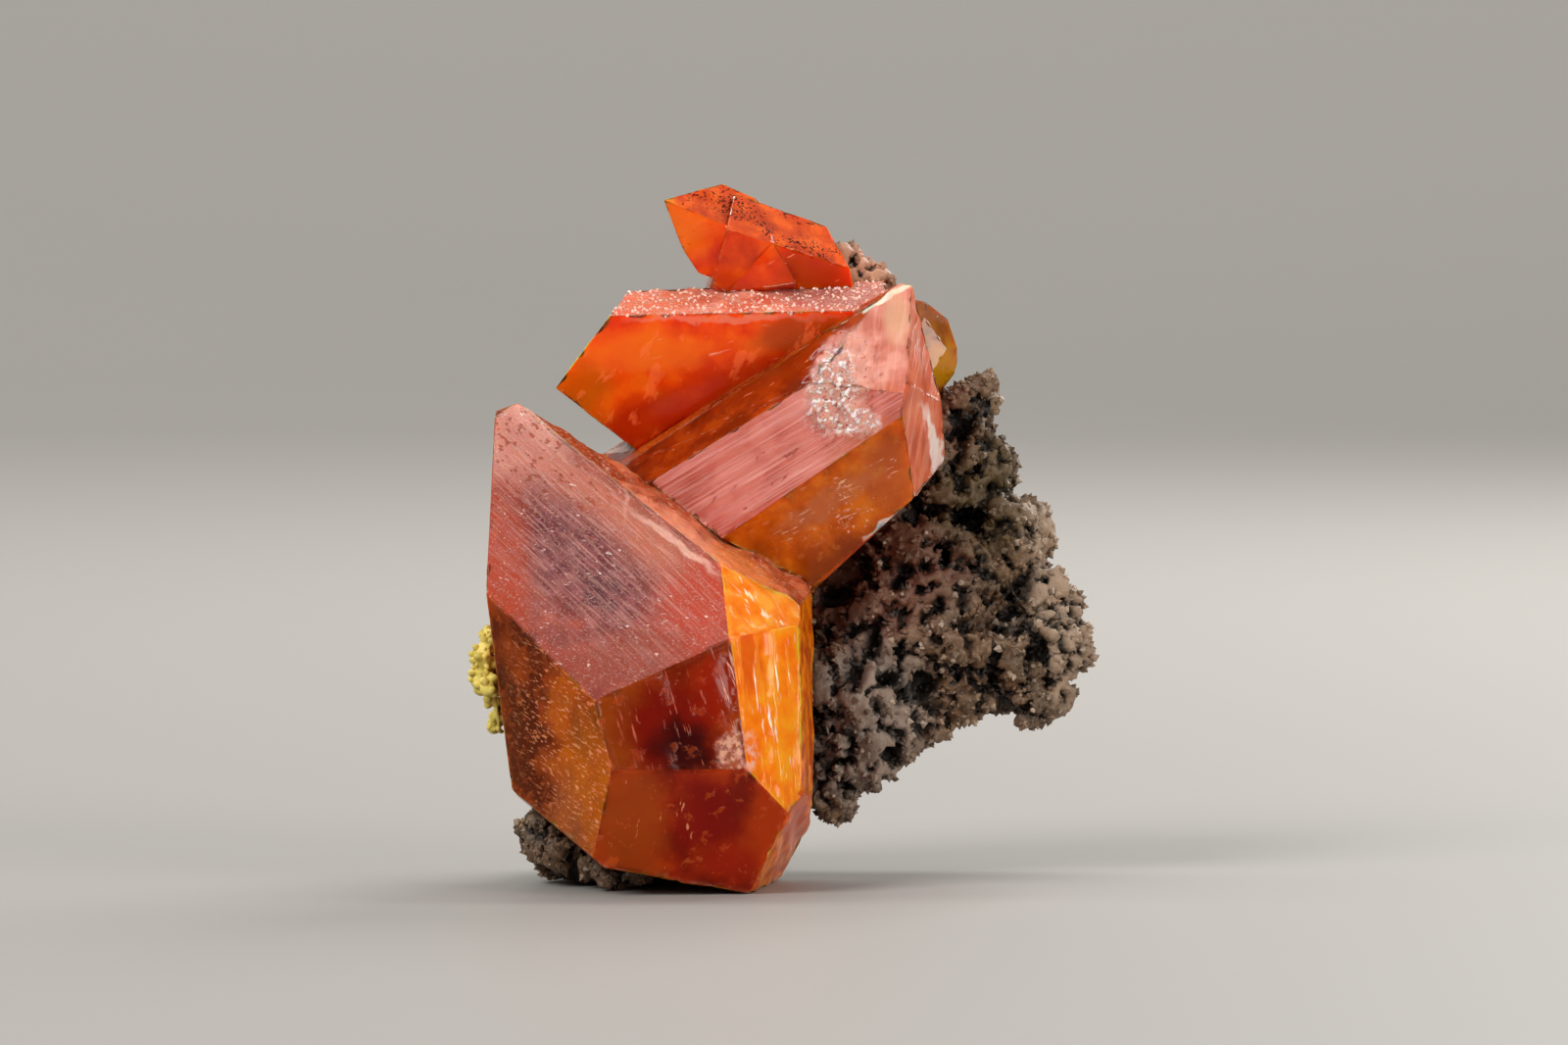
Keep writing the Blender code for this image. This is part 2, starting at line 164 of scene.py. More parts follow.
def areaLight(name, place, size, power, colour, target=(0, 0, 0.022)):
    light = bpy.data.lights.new(name, "AREA")
    light.shape = "RECTANGLE"
    light.size, light.size_y = size
    light.energy = power
    light.color = linear(colour)[:3]
    lamp = newPiece(name, light)
    lamp.location = place
    aim = Vector(target) - Vector(place)
    lamp.rotation_euler = aim.to_track_quat("-Z", "Y").to_euler()


areaLight("keySoftbox", (-0.35, -0.38, 0.42), (0.30, 0.30), studio["keyPower"], "FFFFFF")
areaLight("fillSoftbox", (0.50, -0.40, 0.16), (0.30, 0.34), studio["fillPower"], "FFF8F0")
areaLight("rimSoftbox", (0.24, 0.36, 0.26), (0.30, 0.26), studio["rimPower"], "FFFFFF")
areaLight("topSoftbox", (-0.06, 0.10, 0.55), (0.36, 0.30), studio["topPower"], "FFFFFF")
areaLight("backdropSoftbox", (0.0, 0.30, 0.85), (1.6, 0.3), studio["backdropPower"], "FFFFFF",
          (0.0, 0.9, 0.1))

scene.world = bpy.data.worlds.new("studioRoom")
scene.world.use_nodes = True
worldTree = scene.world.node_tree
fillSockets(worldTree, worldTree.nodes["Background"],
            {"Color": studio["world"], "Strength": studio["worldStrength"]})

half = studio["floorSize"] / 2
profile = [(-half, 0.0), (studio["sweepStart"], 0.0)]
for step in range(1, 13):
    turn = math.radians(90 * step / 12)
    profile.append((studio["sweepStart"] + studio["sweepRadius"] * math.sin(turn),
                    studio["sweepRadius"] * (1 - math.cos(turn))))
profile.append((studio["sweepStart"] + studio["sweepRadius"], 1.6))
floorMesh = bpy.data.meshes.new("paperFloor")
floorMesh.from_pydata([(side * half, y, z) for y, z in profile for side in (-1, 1)], [],
                      [(2 * i, 2 * i + 1, 2 * i + 3, 2 * i + 2) for i in range(len(profile) - 1)])
floorMesh.shade_smooth()
floor = newPiece("paperFloor", floorMesh)
# matt background paper: a plain pale ground without reflections
paper, paperTree, paperShader = newMaterial("mattPaperSweep")
fillSockets(paperTree, paperShader, {"Base Color": studio["floor"], "Roughness": 0.55})
floor.data.materials.append(paper)
print("stage: camera, floor and lights")


# Object coordinates turned to the eye's frame, in mm, so that places match the lists below.
def eyePlace(tree):
    coords = addNode(tree, "ShaderNodeTexCoord", output="Object")
    moved = addNode(tree, "ShaderNodeVectorMath", {"operation": "SUBTRACT"},
                    {0: coords, 1: Vector(eye["offset"]) * mm}, 0)
    return addNode(tree, "ShaderNodeMapping", {"vector_type": "POINT"},
                   {"Vector": moved, "Rotation": (math.radians(eye["leanDegrees"]), 0, 0),
                    "Scale": (1 / mm, 1 / mm, 1 / mm)}, 0)


# 1 inside an ellipse seen from the eye, fading out over its soft rim.
def ellipseMask(tree, place, x, z, wide, tall, tilt, soft, amount=1.0):
    seat = addNode(tree, "ShaderNodeMapping", {"vector_type": "TEXTURE"},
                   {"Vector": place, "Location": (x, 0, z), "Rotation": (0, -math.radians(tilt), 0),
                    "Scale": (wide, 400.0, tall)}, 0)
    far = addNode(tree, "ShaderNodeVectorMath", {"operation": "LENGTH"}, {0: seat}, "Value")
    return addNode(tree, "ShaderNodeMapRange", softStep,
                   {"Value": far, "From Min": 1 - soft / 2, "From Max": 1 + soft / 2,
                    "To Min": amount, "To Max": 0.0}, 0)


# The same places, each moved by up to half of "reach" mm, so that spots and zones get ragged rims.
def wanderedPlace(tree, place, scale, reach):
    wander = addNode(tree, "ShaderNodeTexNoise", {}, {"Vector": place, "Scale": scale, "Detail": 4.0}, "Color")
    centred = addNode(tree, "ShaderNodeVectorMath", {"operation": "SUBTRACT"}, {0: wander, 1: (0.5, 0.5, 0.5)}, 0)
    return addNode(tree, "ShaderNodeVectorMath", {"operation": "MULTIPLY_ADD"},
                   {0: centred, 1: (reach,) * 3, 2: place}, 0)


glowRadius = (1.0, 0.14, 0.03)   # inside wulfenite red light goes far, green a little, blue hardly


# A look is what one crystal face shows. Its values are:
#   body    three colours, dark to light, mixed by clouds of "cloud" mm
#   spots   (x, z, half width, half height, turn, soft rim, colour, amount), worn by "wander" mm
#   layers  noise of "grain" mm drawn out "stretch" times along "turn", shown inside "band";
#           each has colour, amount, height in mm, rough, "where" as spots without colour, and
#           "bunch", the mm between the patches that it keeps to
#   relief  (depth, size, stretch, turn, then spots without colour) in mm, moved in the mesh
#   rough, clear (transmission), glow (subsurface), glowDepth in mm, shine (specular level)
#   the worn colour and amount for its edges: paler where worn, and partly a painted highlight standing in for edge
#       glints
#   absorb  colour and density per metre that tint light inside; only for a mesh with one material
def wulfeniteMaterial(name, look):
    material, tree, shader = newMaterial(name)
    place = eyePlace(tree)
    warped = wanderedPlace(tree, place, 0.65, look.get("wander", 1.6))

    cloud = addNode(tree, "ShaderNodeTexNoise", {}, {"Vector": place, "Scale": 1 / look["cloud"], "Detail": 5.0}, "Fac")
    colour = look["body"][0]
    for tone, low in ((look["body"][1], 0.38), (look["body"][2], 0.50)):
        mask = addNode(tree, "ShaderNodeMapRange", softStep,
                       {"Value": cloud, "From Min": low, "From Max": low + 0.14}, 0)
        colour = addNode(tree, "ShaderNodeMix", colourMix, {0: mask, 6: colour, 7: tone}, 2)
    for *ellipse, tone, amount in look.get("spots", []):
        mask = ellipseMask(tree, warped, *ellipse, amount)
        colour = addNode(tree, "ShaderNodeMix", colourMix, {0: mask, 6: colour, 7: tone}, 2)

    rough = look["rough"]
    clear = look["clear"]
    height = 0.0
    for layer in look.get("layers", []):
        drawn = layer.get("stretch", 1.0)
        seat = addNode(tree, "ShaderNodeMapping", {"vector_type": "TEXTURE"},
                       {"Vector": place, "Rotation": (0, -math.radians(layer.get("turn", 0.0)), 0),
                        "Scale": (drawn, drawn, 1.0)}, 0)
        pattern = addNode(tree, "ShaderNodeTexNoise", {},
                          {"Vector": seat, "Scale": 1 / layer["grain"], "Detail": layer.get("detail", 3.0),
                           "Roughness": 0.6}, "Fac")
        mask = addNode(tree, "ShaderNodeMapRange", softStep,
                       {"Value": pattern, "From Min": layer["band"][0], "From Max": layer["band"][1]}, 0)
        if "bunch" in layer:
            bunch = addNode(tree, "ShaderNodeTexNoise", {},
                            {"Vector": place, "Scale": 1 / layer["bunch"], "Detail": 2.0}, "Fac")
            near = addNode(tree, "ShaderNodeMapRange", softStep,
                           {"Value": bunch, "From Min": 0.42, "From Max": 0.60}, 0)
            mask = addNode(tree, "ShaderNodeMath", {"operation": "MULTIPLY"}, {0: mask, 1: near}, 0)
        if "where" in layer:
            inside = 0.0
            for ellipse in layer["where"]:
                inside = addNode(tree, "ShaderNodeMath", {"operation": "MAXIMUM"},
                                 {0: inside, 1: ellipseMask(tree, warped, *ellipse)}, 0)
            mask = addNode(tree, "ShaderNodeMath", {"operation": "MULTIPLY"}, {0: mask, 1: inside}, 0)
        tint = addNode(tree, "ShaderNodeMath", {"operation": "MULTIPLY"}, {0: mask, 1: layer["amount"]}, 0)
        colour = addNode(tree, "ShaderNodeMix", colourMix, {0: tint, 6: colour, 7: layer["colour"]}, 2)
        height = addNode(tree, "ShaderNodeMath", {"operation": "MULTIPLY_ADD"},
                         {0: mask, 1: layer.get("height", 0.0), 2: height}, 0)
        rough = addNode(tree, "ShaderNodeMix", {"data_type": "FLOAT"},
                        {0: mask, 2: rough, 3: layer.get("rough", look["rough"])}, 0)
        clear = addNode(tree, "ShaderNodeMix", {"data_type": "FLOAT"}, {0: tint, 2: clear, 3: 0.0}, 0)

    # worn edges scatter light, so they look paler than the faces beside them; the paler rims are partly a painted
    # highlight standing in for edge glints
    wornAndGlint = addNode(tree, "ShaderNodeAttribute", {"attribute_name": "edgeWearAndGlint"}, output="Fac")
    scuff = addNode(tree, "ShaderNodeTexNoise", {}, {"Vector": place, "Scale": 2.2, "Detail": 3.0}, "Fac")
    pale = addNode(tree, "ShaderNodeMapRange", softStep,
                   {"Value": scuff, "From Min": 0.46, "From Max": 0.66, "To Max": look.get("wornGlintAmount", 0.7)}, 0)
    pale = addNode(tree, "ShaderNodeMath", {"operation": "MULTIPLY"}, {0: pale, 1: wornAndGlint}, 0)
    colour = addNode(tree, "ShaderNodeMix", colourMix,
                     {0: pale, 6: colour, 7: look.get("wornGlintColour", "E8875C")}, 2)

    bump = addNode(tree, "ShaderNodeBump", {}, {"Height": height, "Distance": mm, "Strength": 1.0}, 0)
    fillSockets(tree, shader, {
        "Base Color": colour, "Roughness": rough, "Transmission Weight": clear, "Normal": bump,
        "IOR": 1.6,   # wulfenite is 2.3; less keeps its colour on a pale floor
        "Specular IOR Level": look.get("shine", 0.15),
        "Subsurface Weight": look["glow"],
        "Subsurface Radius": glowRadius,
        "Subsurface Scale": look.get("glowDepth", 2.5) * mm,
    })
    if "absorb" in look:
        tint, density = look["absorb"]
        inside = addNode(tree, "ShaderNodeVolumeAbsorption", {}, {"Color": tint, "Density": density}, 0)
        tree.links.new(inside, tree.nodes["Material Output"].inputs["Volume"])
    return material


contactReach = 0.62   # mm, the widest gap left by a pocket cut with 0.3 mm to spare
contactDepth = 0.03   # mm, how far a grown contact goes into its neighbour
crystalMaking = {
    "weld": 0.002,          # mm, joins the loose triangles of a solid
    "flatDegrees": 1.0,     # triangles flatter than this to each other are one face
    "seedStart": -60,       # mm, a place in front of every crystal
    "leastDegrees": 8,      # flatter edges than this aren't bevelled
    "leastLength": 6,       # in bevels, so that short edges keep their corners
    "segments": 3,
    "profile": 0.6,
    "bevelWeld": 0.001,     # mm
    "mostHalvings": 9,
    "wornRadians": 0.16,    # a corner that turns this much is worn in full
    "chipShare": 2.2,       # how fast a chip reaches its full depth
}


def solidCopy(node):
    bm = bmesh.new()
    bm.from_mesh(frame["nodes"][node].data)
    bmesh.ops.remove_doubles(bm, verts=bm.verts, dist=crystalMaking["weld"] * mm)
    return bm


# Moves the corners that stop short of a neighbouring crystal onto its face.
def closeContact(bm, neighbours):
    for other in neighbours:
        near = solidCopy(other)
        skin = BVHTree.FromBMesh(near)
        for vert in bm.verts:
            spot, normal = skin.find_nearest(vert.co, contactReach * mm)[:2]
            if spot is not None:
                vert.co = spot - normal * contactDepth * mm
        near.free()


# Noise drawn out along a line as the eye sees it, for relief in the mesh itself.
def drawnNoise(spot, size, stretch, tilt):
    turned = math.radians(tilt)
    along = spot.x * math.cos(turned) + spot.z * math.sin(turned)
    across = -spot.x * math.sin(turned) + spot.z * math.cos(turned)
    return noise.noise(Vector((along / stretch, spot.y / stretch, across)) / size)


def ellipseShare(spot, x, z, wide, tall, tilt, soft):
    turned = math.radians(tilt)
    along = (spot.x - x) * math.cos(turned) + (spot.z - z) * math.sin(turned)
    across = -(spot.x - x) * math.sin(turned) + (spot.z - z) * math.cos(turned)
    far = math.hypot(along / wide, across / tall)
    return min(1.0, max(0.0, (1 + soft / 2 - far) / soft))


# Copies a crystal, names its faces by where the eye meets them, rounds and chips its edges.
def crystalPiece(name, node, values, looks, seeds):
    bm = solidCopy(node)
    closeContact(bm, values.get("grownOn", []))
    bmesh.ops.dissolve_limit(bm, angle_limit=math.radians(crystalMaking["flatDegrees"]), verts=bm.verts,
                             edges=bm.edges)
    bm.faces.ensure_lookup_table()
    skin = BVHTree.FromBMesh(bm)
    names = list(looks)
    for face in bm.faces:
        face.material_index = 0
    for look, spots in seeds.items():
        for x, z in spots:
            hit = skin.ray_cast(fromView(x, crystalMaking["seedStart"], z), forward)
            if hit[2] is not None:
                bm.faces[hit[2]].material_index = names.index(look)
    facetLook = [face.material_index for face in bm.faces]
    edges = [edge for edge in bm.edges if len(edge.link_faces) == 2
             and edge.calc_face_angle(0) > math.radians(crystalMaking["leastDegrees"])
             and edge.calc_length() > crystalMaking["leastLength"] * values["bevel"] * mm]
    bmesh.ops.bevel(bm, geom=edges, offset=values["bevel"] * mm, offset_type="OFFSET",
                    segments=crystalMaking["segments"], profile=crystalMaking["profile"], affect="EDGES",
                    clamp_overlap=True)
    bmesh.ops.triangulate(bm, faces=bm.faces)
    bmesh.ops.remove_doubles(bm, verts=bm.verts, dist=crystalMaking["bevelWeld"] * mm)
    for face in bm.faces:
        index = skin.find_nearest(face.calc_center_median())[2]
        face.material_index = facetLook[index]
    for step in range(crystalMaking["mostHalvings"]):
        long = [edge for edge in bm.edges if edge.calc_length() > values["mesh"] * mm]
        if not long:
            break
        bmesh.ops.subdivide_edges(bm, edges=long, cuts=1)
        bmesh.ops.triangulate(bm, faces=[face for face in bm.faces if len(face.verts) > 3])
    bm.normal_update()

    # edge wear, which the material also uses for a painted highlight along the edges
    wear = bm.verts.layers.float.new("edgeWearAndGlint")
    bend = {}
    for vert in bm.verts:
        turns = [vert.normal.angle(face.normal, 0) for face in vert.link_faces if face.calc_area() > 1e-12]
        beside = sum(((edge.other_vert(vert).co - vert.co).normalized() for edge in vert.link_edges), Vector())
        outward = beside.dot(vert.normal) < 0
        bend[vert] = min(1.0, max(turns, default=0.0) / crystalMaking["wornRadians"]) if outward else 0.0
    for step in range(values["wearRings"]):
        spread = {}
        for vert in bm.verts:
            beside = [bend[edge.other_vert(vert)] for edge in vert.link_edges]
            spread[vert] = max(bend[vert], 0.5 * bend[vert] + 0.5 * sum(beside) / len(beside))
        bend = spread
    moves = []
    for vert in bm.verts:
        spot = toView(vert.co)
        chip = noise.noise(spot / values["chipSize"]) + 0.5 * noise.noise(spot / (0.4 * values["chipSize"]))
        rise = -values["chipDepth"] * bend[vert] * min(1.0, max(0.0, chip * crystalMaking["chipShare"]))
        index = {face.material_index for face in vert.link_faces}
        if len(index) == 1:
            flat = 1 - bend[vert]
            for depth, size, stretch, tilt, *where in looks[names[index.pop()]].get("relief", []):
                share = max([ellipseShare(spot, *ellipse) for ellipse in where], default=1.0)
                rise += depth * drawnNoise(spot, size, stretch, tilt) * share * flat
        moves.append(vert.normal * rise * mm)
        vert[wear] = bend[vert] ** 2
    for vert, move in zip(bm.verts, moves):
        vert.co += move
        vert.co.z = max(vert.co.z, 0.0)
    mesh = bpy.data.meshes.new(name)
    bm.to_mesh(mesh)
    bm.free()
    mesh.shade_smooth()
    piece = newPiece(name, mesh)
    for look in names:
        mesh.materials.append(wulfeniteMaterial(name + "_" + look, looks[look]))
    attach(piece, "root")
    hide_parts(node)
    print("stage:", name, triangleCount(mesh), "triangles")
    return piece


frontCrystal = {"bevel": 0.16, "mesh": 0.40, "chipDepth": 0.36, "chipSize": 1.0, "wearRings": 2}
# a crazed pinkish patch where two growth steps meet
pinkPatch = {"grain": 0.45, "detail": 5.0, "band": (0.40, 0.58), "colour": "E4AE98", "amount": 0.85, "height": 0.06,
             "rough": 0.4, "where": [(-3.0, 8.9, 1.2, 1.7, -20, 0.5)]}
frontLooks = {
    # faces turned away: waxy orange brown under a thin haze
    "hidden": {
        "body": ("7A2A06", "983C0A", "B45012"), "cloud": 3.4, "rough": 0.2, "clear": 0.12, "glow": 0.6,
        "shine": 0.1,
        "layers": [{"grain": 0.2, "stretch": 5.0, "turn": 0, "band": (0.50, 0.66), "colour": "B4602C",
                    "amount": 0.12, "height": 0.03, "rough": 0.4},
                   {"grain": 1.6, "detail": 4.0, "band": (0.54, 0.68), "colour": "B85C34", "amount": 0.35,
                    "height": 0.05, "rough": 0.4}],
    },
    # etched basal face: frosted, with fine striae and sugar specks; its salmon pink is partly painted sheen and its
    # mauve middle is painted shade
    "frostedAndSheen": {
        "body": ("7C352C", "8E4034", "A24A3A"), "cloud": 1.6, "rough": 0.4, "clear": 0.04,
        "glow": 0.3, "wander": 0.8, "shine": 0.06,
        # the pale pink apex spot and the thin pale lines along the ridge are painted sheen and highlight; the dark
        # mauve spots are painted shade
        "spots": [
            (-16.6, 29.2, 2.8, 3.2, -30, 1.0, "E0A090", 0.95),
            (-14.0, 25.8, 7.5, 1.7, -43, 1.0, "BC7060", 0.85),
            (-9.6, 23.2, 5.4, 1.3, -38, 1.0, "C06A50", 0.8),
            (-13.0, 21.2, 5.6, 2.6, -43, 1.0, "5E2430", 0.9),
            (-11.4, 19.2, 1.6, 1.2, -43, 0.9, "4C2830", 0.6),
            (-17.8, 20.5, 1.7, 5.5, 0, 1.0, "A83C20", 0.85),
            (-5.2, 18.4, 2.6, 3.6, -34, 1.0, "B8402A", 0.9),
            (-11.0, 14.8, 4.6, 1.5, 16, 1.0, "904030", 0.8),
            (-6.9, 22.3, 3.2, 0.22, -37, 0.9, "F0B8A4", 0.8), (-10.0, 25.6, 0.16, 2.0, 0, 0.8, "E0A090", 0.5),
        ],
        "layers": [
            {"grain": 0.60, "stretch": 1.6, "turn": -43, "detail": 4.0, "band": (0.44, 0.60), "colour": "A0605E",
             "amount": 0.5, "height": 0.03, "where": [(-12.6, 20.6, 6.4, 3.6, -43, 1.0)]},
            {"grain": 0.15, "stretch": 17.0, "turn": -43, "detail": 4.0, "band": (0.44, 0.62), "colour": "E4A898",
             "amount": 0.36, "height": 0.05, "where": [(-11.8, 22.8, 9.5, 5.2, -43, 1.2)]},
            {"grain": 0.16, "band": (0.52, 0.66), "colour": "ECB4A4", "amount": 0.36, "height": 0.05, "rough": 0.5},
            {"grain": 0.34, "stretch": 1.8, "turn": -43, "band": (0.59, 0.64), "colour": "96401E", "amount": 0.75,
             "height": -0.07, "where": [(-15.6, 27.4, 5.4, 3.4, -43, 0.9)]},
            {"grain": 0.20, "stretch": 2.4, "turn": -20, "band": (0.64, 0.69), "colour": "FFE6DC", "amount": 0.9,
             "height": 0.05, "bunch": 1.6},
        ],
        "relief": [(0.10, 0.8, 9.0, -43), (0.12, 1.6, 2.0, -43)],
    },
    # narrow faces behind the crest: brown at the tip, pink along the ridge as a painted highlight
    "topFace": {
        "body": ("8A2E0C", "AC4820", "CC6A44"), "cloud": 1.4, "rough": 0.3, "clear": 0.06, "glow": 0.35,
        "spots": [(-6.4, 22.6, 4.4, 0.8, -38, 0.8, "E08868", 0.85), (-13.6, 28.6, 3.6, 1.0, -40, 0.8, "8A3208", 0.8),
                  (-2.6, 20.4, 2.4, 0.9, -34, 0.8, "E8803C", 0.7)],
        "layers": [{"grain": 0.26, "band": (0.50, 0.64), "colour": "E8A080", "amount": 0.5, "height": 0.06,
                    "rough": 0.5}],
        "relief": [(0.42, 1.1, 2.2, -38), (0.2, 0.5, 1.5, -38)],
    },
    # left foot face: brown orange, alive with small drawn-out glints
    "sparkly": {
        "body": ("5C1E04", "90390A", "B8560E"), "cloud": 3.0, "rough": 0.28, "clear": 0.1, "glow": 0.6, "shine": 0.03,
        "spots": [(-18.2, 9.5, 1.8, 6.0, 0, 1.0, "5A2608", 0.7), (-13.4, 4.2, 1.4, 3.2, 0, 0.9, "A05830", 0.6),
                  (-12.0, 7.6, 1.4, 4.4, 10, 0.9, "C4640C", 0.7)],
        "layers": [
            {"grain": 0.55, "band": (0.50, 0.66), "colour": "B05020", "amount": 0.4, "height": 0.05},
            {"grain": 0.15, "stretch": 3.2, "turn": -32, "band": (0.56, 0.62), "colour": "EE9C68", "amount": 0.8,
             "height": 0.06, "where": [(-13.4, 9.6, 2.9, 7.0, 16, 1.0)]},
            {"grain": 0.22, "stretch": 2.4, "turn": -50, "band": (0.64, 0.68), "colour": "FFD0AC", "amount": 0.9,
             "height": 0.06, "bunch": 1.7, "where": [(-12.8, 9.0, 2.4, 7.0, 16, 0.9)]},
        ],
        "relief": [(0.16, 1.1, 2.0, -35)],
    },
    # centre face: a polished window into the dark red heart, with painted shade where it is near black
    "window": {
        "body": ("7A2204", "8E2C04", "A23C06"), "cloud": 2.0, "rough": 0.1, "clear": 0.2,
        "glow": 0.7, "wander": 2.4, "shine": 0.05,
        "spots": [(-10.6, 11.5, 2.0, 4.0, 0, 0.9, "98400A", 0.9), (-7.0, 10.6, 2.9, 3.2, 0, 0.9, "7C0E02", 0.95),
                  # the near-black spot is painted shade where no light comes back
                  (-6.4, 9.4, 1.8, 1.7, 0, 0.9, "300402", 0.9), (-4.4, 13.0, 1.5, 1.9, 0, 0.9, "9C1C04", 0.8),
                  (-3.0, 8.9, 1.2, 1.6, -20, 0.5, "B8664A", 0.7)],
        "layers": [
            {"grain": 0.26, "stretch": 9.0, "turn": -74, "band": (0.62, 0.68), "colour": "C8644A", "amount": 0.7,
             "height": 0.02, "bunch": 2.6},
            {"grain": 1.1, "detail": 5.0, "band": (0.56, 0.66), "colour": "B0441C", "amount": 0.4, "height": 0.02},
            # pale streaks near the right border are painted glints
            {"grain": 0.26, "stretch": 9.0, "turn": -72, "band": (0.56, 0.64), "colour": "FFC8B0", "amount": 0.85,
             "height": 0.04, "where": [(-3.5, 14.0, 0.8, 3.4, 12, 0.9)]},
            pinkPatch,
        ],
        "relief": [(0.18, 1.6, 2.0, -70), (0.3, 0.8, 1.0, 0, (-3.0, 8.9, 1.5, 2.0, -20, 0.5))],
    },
    # foot face: glassy deep red orange
    "footFace": {
        "body": ("7C1602", "962204", "B03806"), "cloud": 2.4, "rough": 0.14, "clear": 0.15,
        "glow": 0.7, "wander": 2.2, "shine": 0.05,
        "spots": [(-9.6, 4.6, 2.2, 3.6, 0, 0.9, "A84408", 0.85), (-5.0, 5.0, 2.2, 2.4, 0, 0.9, "860C02", 0.85),
                  (-0.8, 4.4, 1.5, 3.0, 0, 0.8, "B83A02", 0.85), (-3.4, 2.2, 1.8, 1.2, 0, 0.8, "A82202", 0.7)],
        "layers": [
            {"grain": 0.9, "detail": 5.0, "band": (0.58, 0.66), "colour": "CC5A20", "amount": 0.4, "height": 0.03},
            {"grain": 0.3, "stretch": 4.0, "turn": 80, "band": (0.66, 0.70), "colour": "F0A070", "amount": 0.7,
             "height": 0.03, "bunch": 2.4},
        ],
        "relief": [(0.20, 1.8, 1.4, 70)],
    },
    # right faces: lit through, glassy orange with upright flutes
    "bright": {
        "body": ("F47804", "FF8A0C", "FF9E14"), "cloud": 1.8, "rough": 0.1, "clear": 0.1, "glow": 0.9, "glowDepth": 5.0,
        "spots": [(-3.6, 18.4, 0.9, 3.0, -10, 0.9, "F06420", 0.7), (1.4, 12.5, 0.4, 6.0, 0, 0.6, "C06404", 0.8),
                  (-2.2, 15.4, 0.7, 2.4, 6, 0.8, "D04808", 0.6)],
        "layers": [
            {"grain": 0.55, "stretch": 9.0, "turn": -84, "band": (0.50, 0.62), "colour": "FFB030", "amount": 0.3,
             "height": 0.02},
            # white upright streaks: painted highlights of glare
            {"grain": 0.28, "stretch": 12.0, "turn": -84, "band": (0.61, 0.66), "colour": "FFF4E0", "amount": 0.95,
             "height": 0.05, "bunch": 1.9},
            pinkPatch,
        ],
        "relief": [(0.22, 1.1, 7.0, -84), (0.06, 0.5, 1.0, 0)],
    },
    "shoulderFace": {
        "body": ("F07C14", "FC8C22", "FFA63C"), "cloud": 1.2, "rough": 0.14, "clear": 0.12,
        "glow": 0.85, "glowDepth": 4.0,
        "layers": [{"grain": 0.34, "stretch": 4.0, "turn": -58, "band": (0.60, 0.66), "colour": "FFE4C4", "amount": 0.8,
                    "height": 0.06, "bunch": 1.6}],
        "relief": [(0.40, 0.9, 2.4, -50)],
    },
    # thin faces round the right side: deep orange
    "edgeStrip": {
        "body": ("A03C02", "C85A04", "E07A08"), "cloud": 1.0, "rough": 0.34, "clear": 0.05, "glow": 0.8, "shine": 0.05,
        "spots": [(0.6, 4.9, 0.9, 2.4, 0, 0.8, "B03C06", 0.8)],
        "layers": [{"grain": 0.3, "stretch": 5.0, "turn": -88, "band": (0.62, 0.67), "colour": "FFC070", "amount": 0.8,
                    "height": 0.04, "bunch": 1.8}],
        "relief": [(0.24, 0.7, 4.0, -86)],
    },
}
frontSeeds = {
    "frostedAndSheen": [(-12.0, 21.0)],
    "topFace": [(-3.0, 21.4), (-6.0, 23.2)],
    "sparkly": [(-15.5, 11.0)],
    "window": [(-7.5, 11.0)],
    "footFace": [(-5.0, 4.6)],
    "bright": [(-1.0, 12.0)],
    "shoulderFace": [(-1.4, 18.0)],
    "edgeStrip": [(1.35, 12.0), (1.0, 4.9)],
}
crystalPiece("wulfenite_front", "front_crystal", frontCrystal, frontLooks, frontSeeds)

middleCrystals = {"bevel": 0.14, "mesh": 0.36, "chipDepth": 0.26, "chipSize": 1.0, "wearRings": 2,
                  "grownOn": ["front_crystal"]}
# a rough white chip that runs over three faces: layers, then relief
whiteChip = [
    {"grain": 0.5, "detail": 5.0, "band": (0.30, 0.44), "colour": "DC9C8A", "amount": 0.9, "rough": 0.35,
     "where": [(3.6, 32.6, 1.9, 3.3, -16, 0.3), (4.6, 29.8, 1.4, 0.9, 10, 0.4)]},
    {"grain": 0.36, "detail": 6.0, "band": (0.46, 0.58), "colour": "FFF0EA", "amount": 0.9, "height": 0.12,
     "rough": 0.4, "where": [(3.0, 32.0, 1.4, 2.6, -14, 0.6), (4.6, 29.8, 1.2, 0.8, 10, 0.6)]},
    {"grain": 0.42, "band": (0.61, 0.65), "colour": "B04418", "amount": 0.8, "height": -0.1,
     "where": [(4.2, 32.0, 2.0, 3.4, -10, 0.6)]},
]
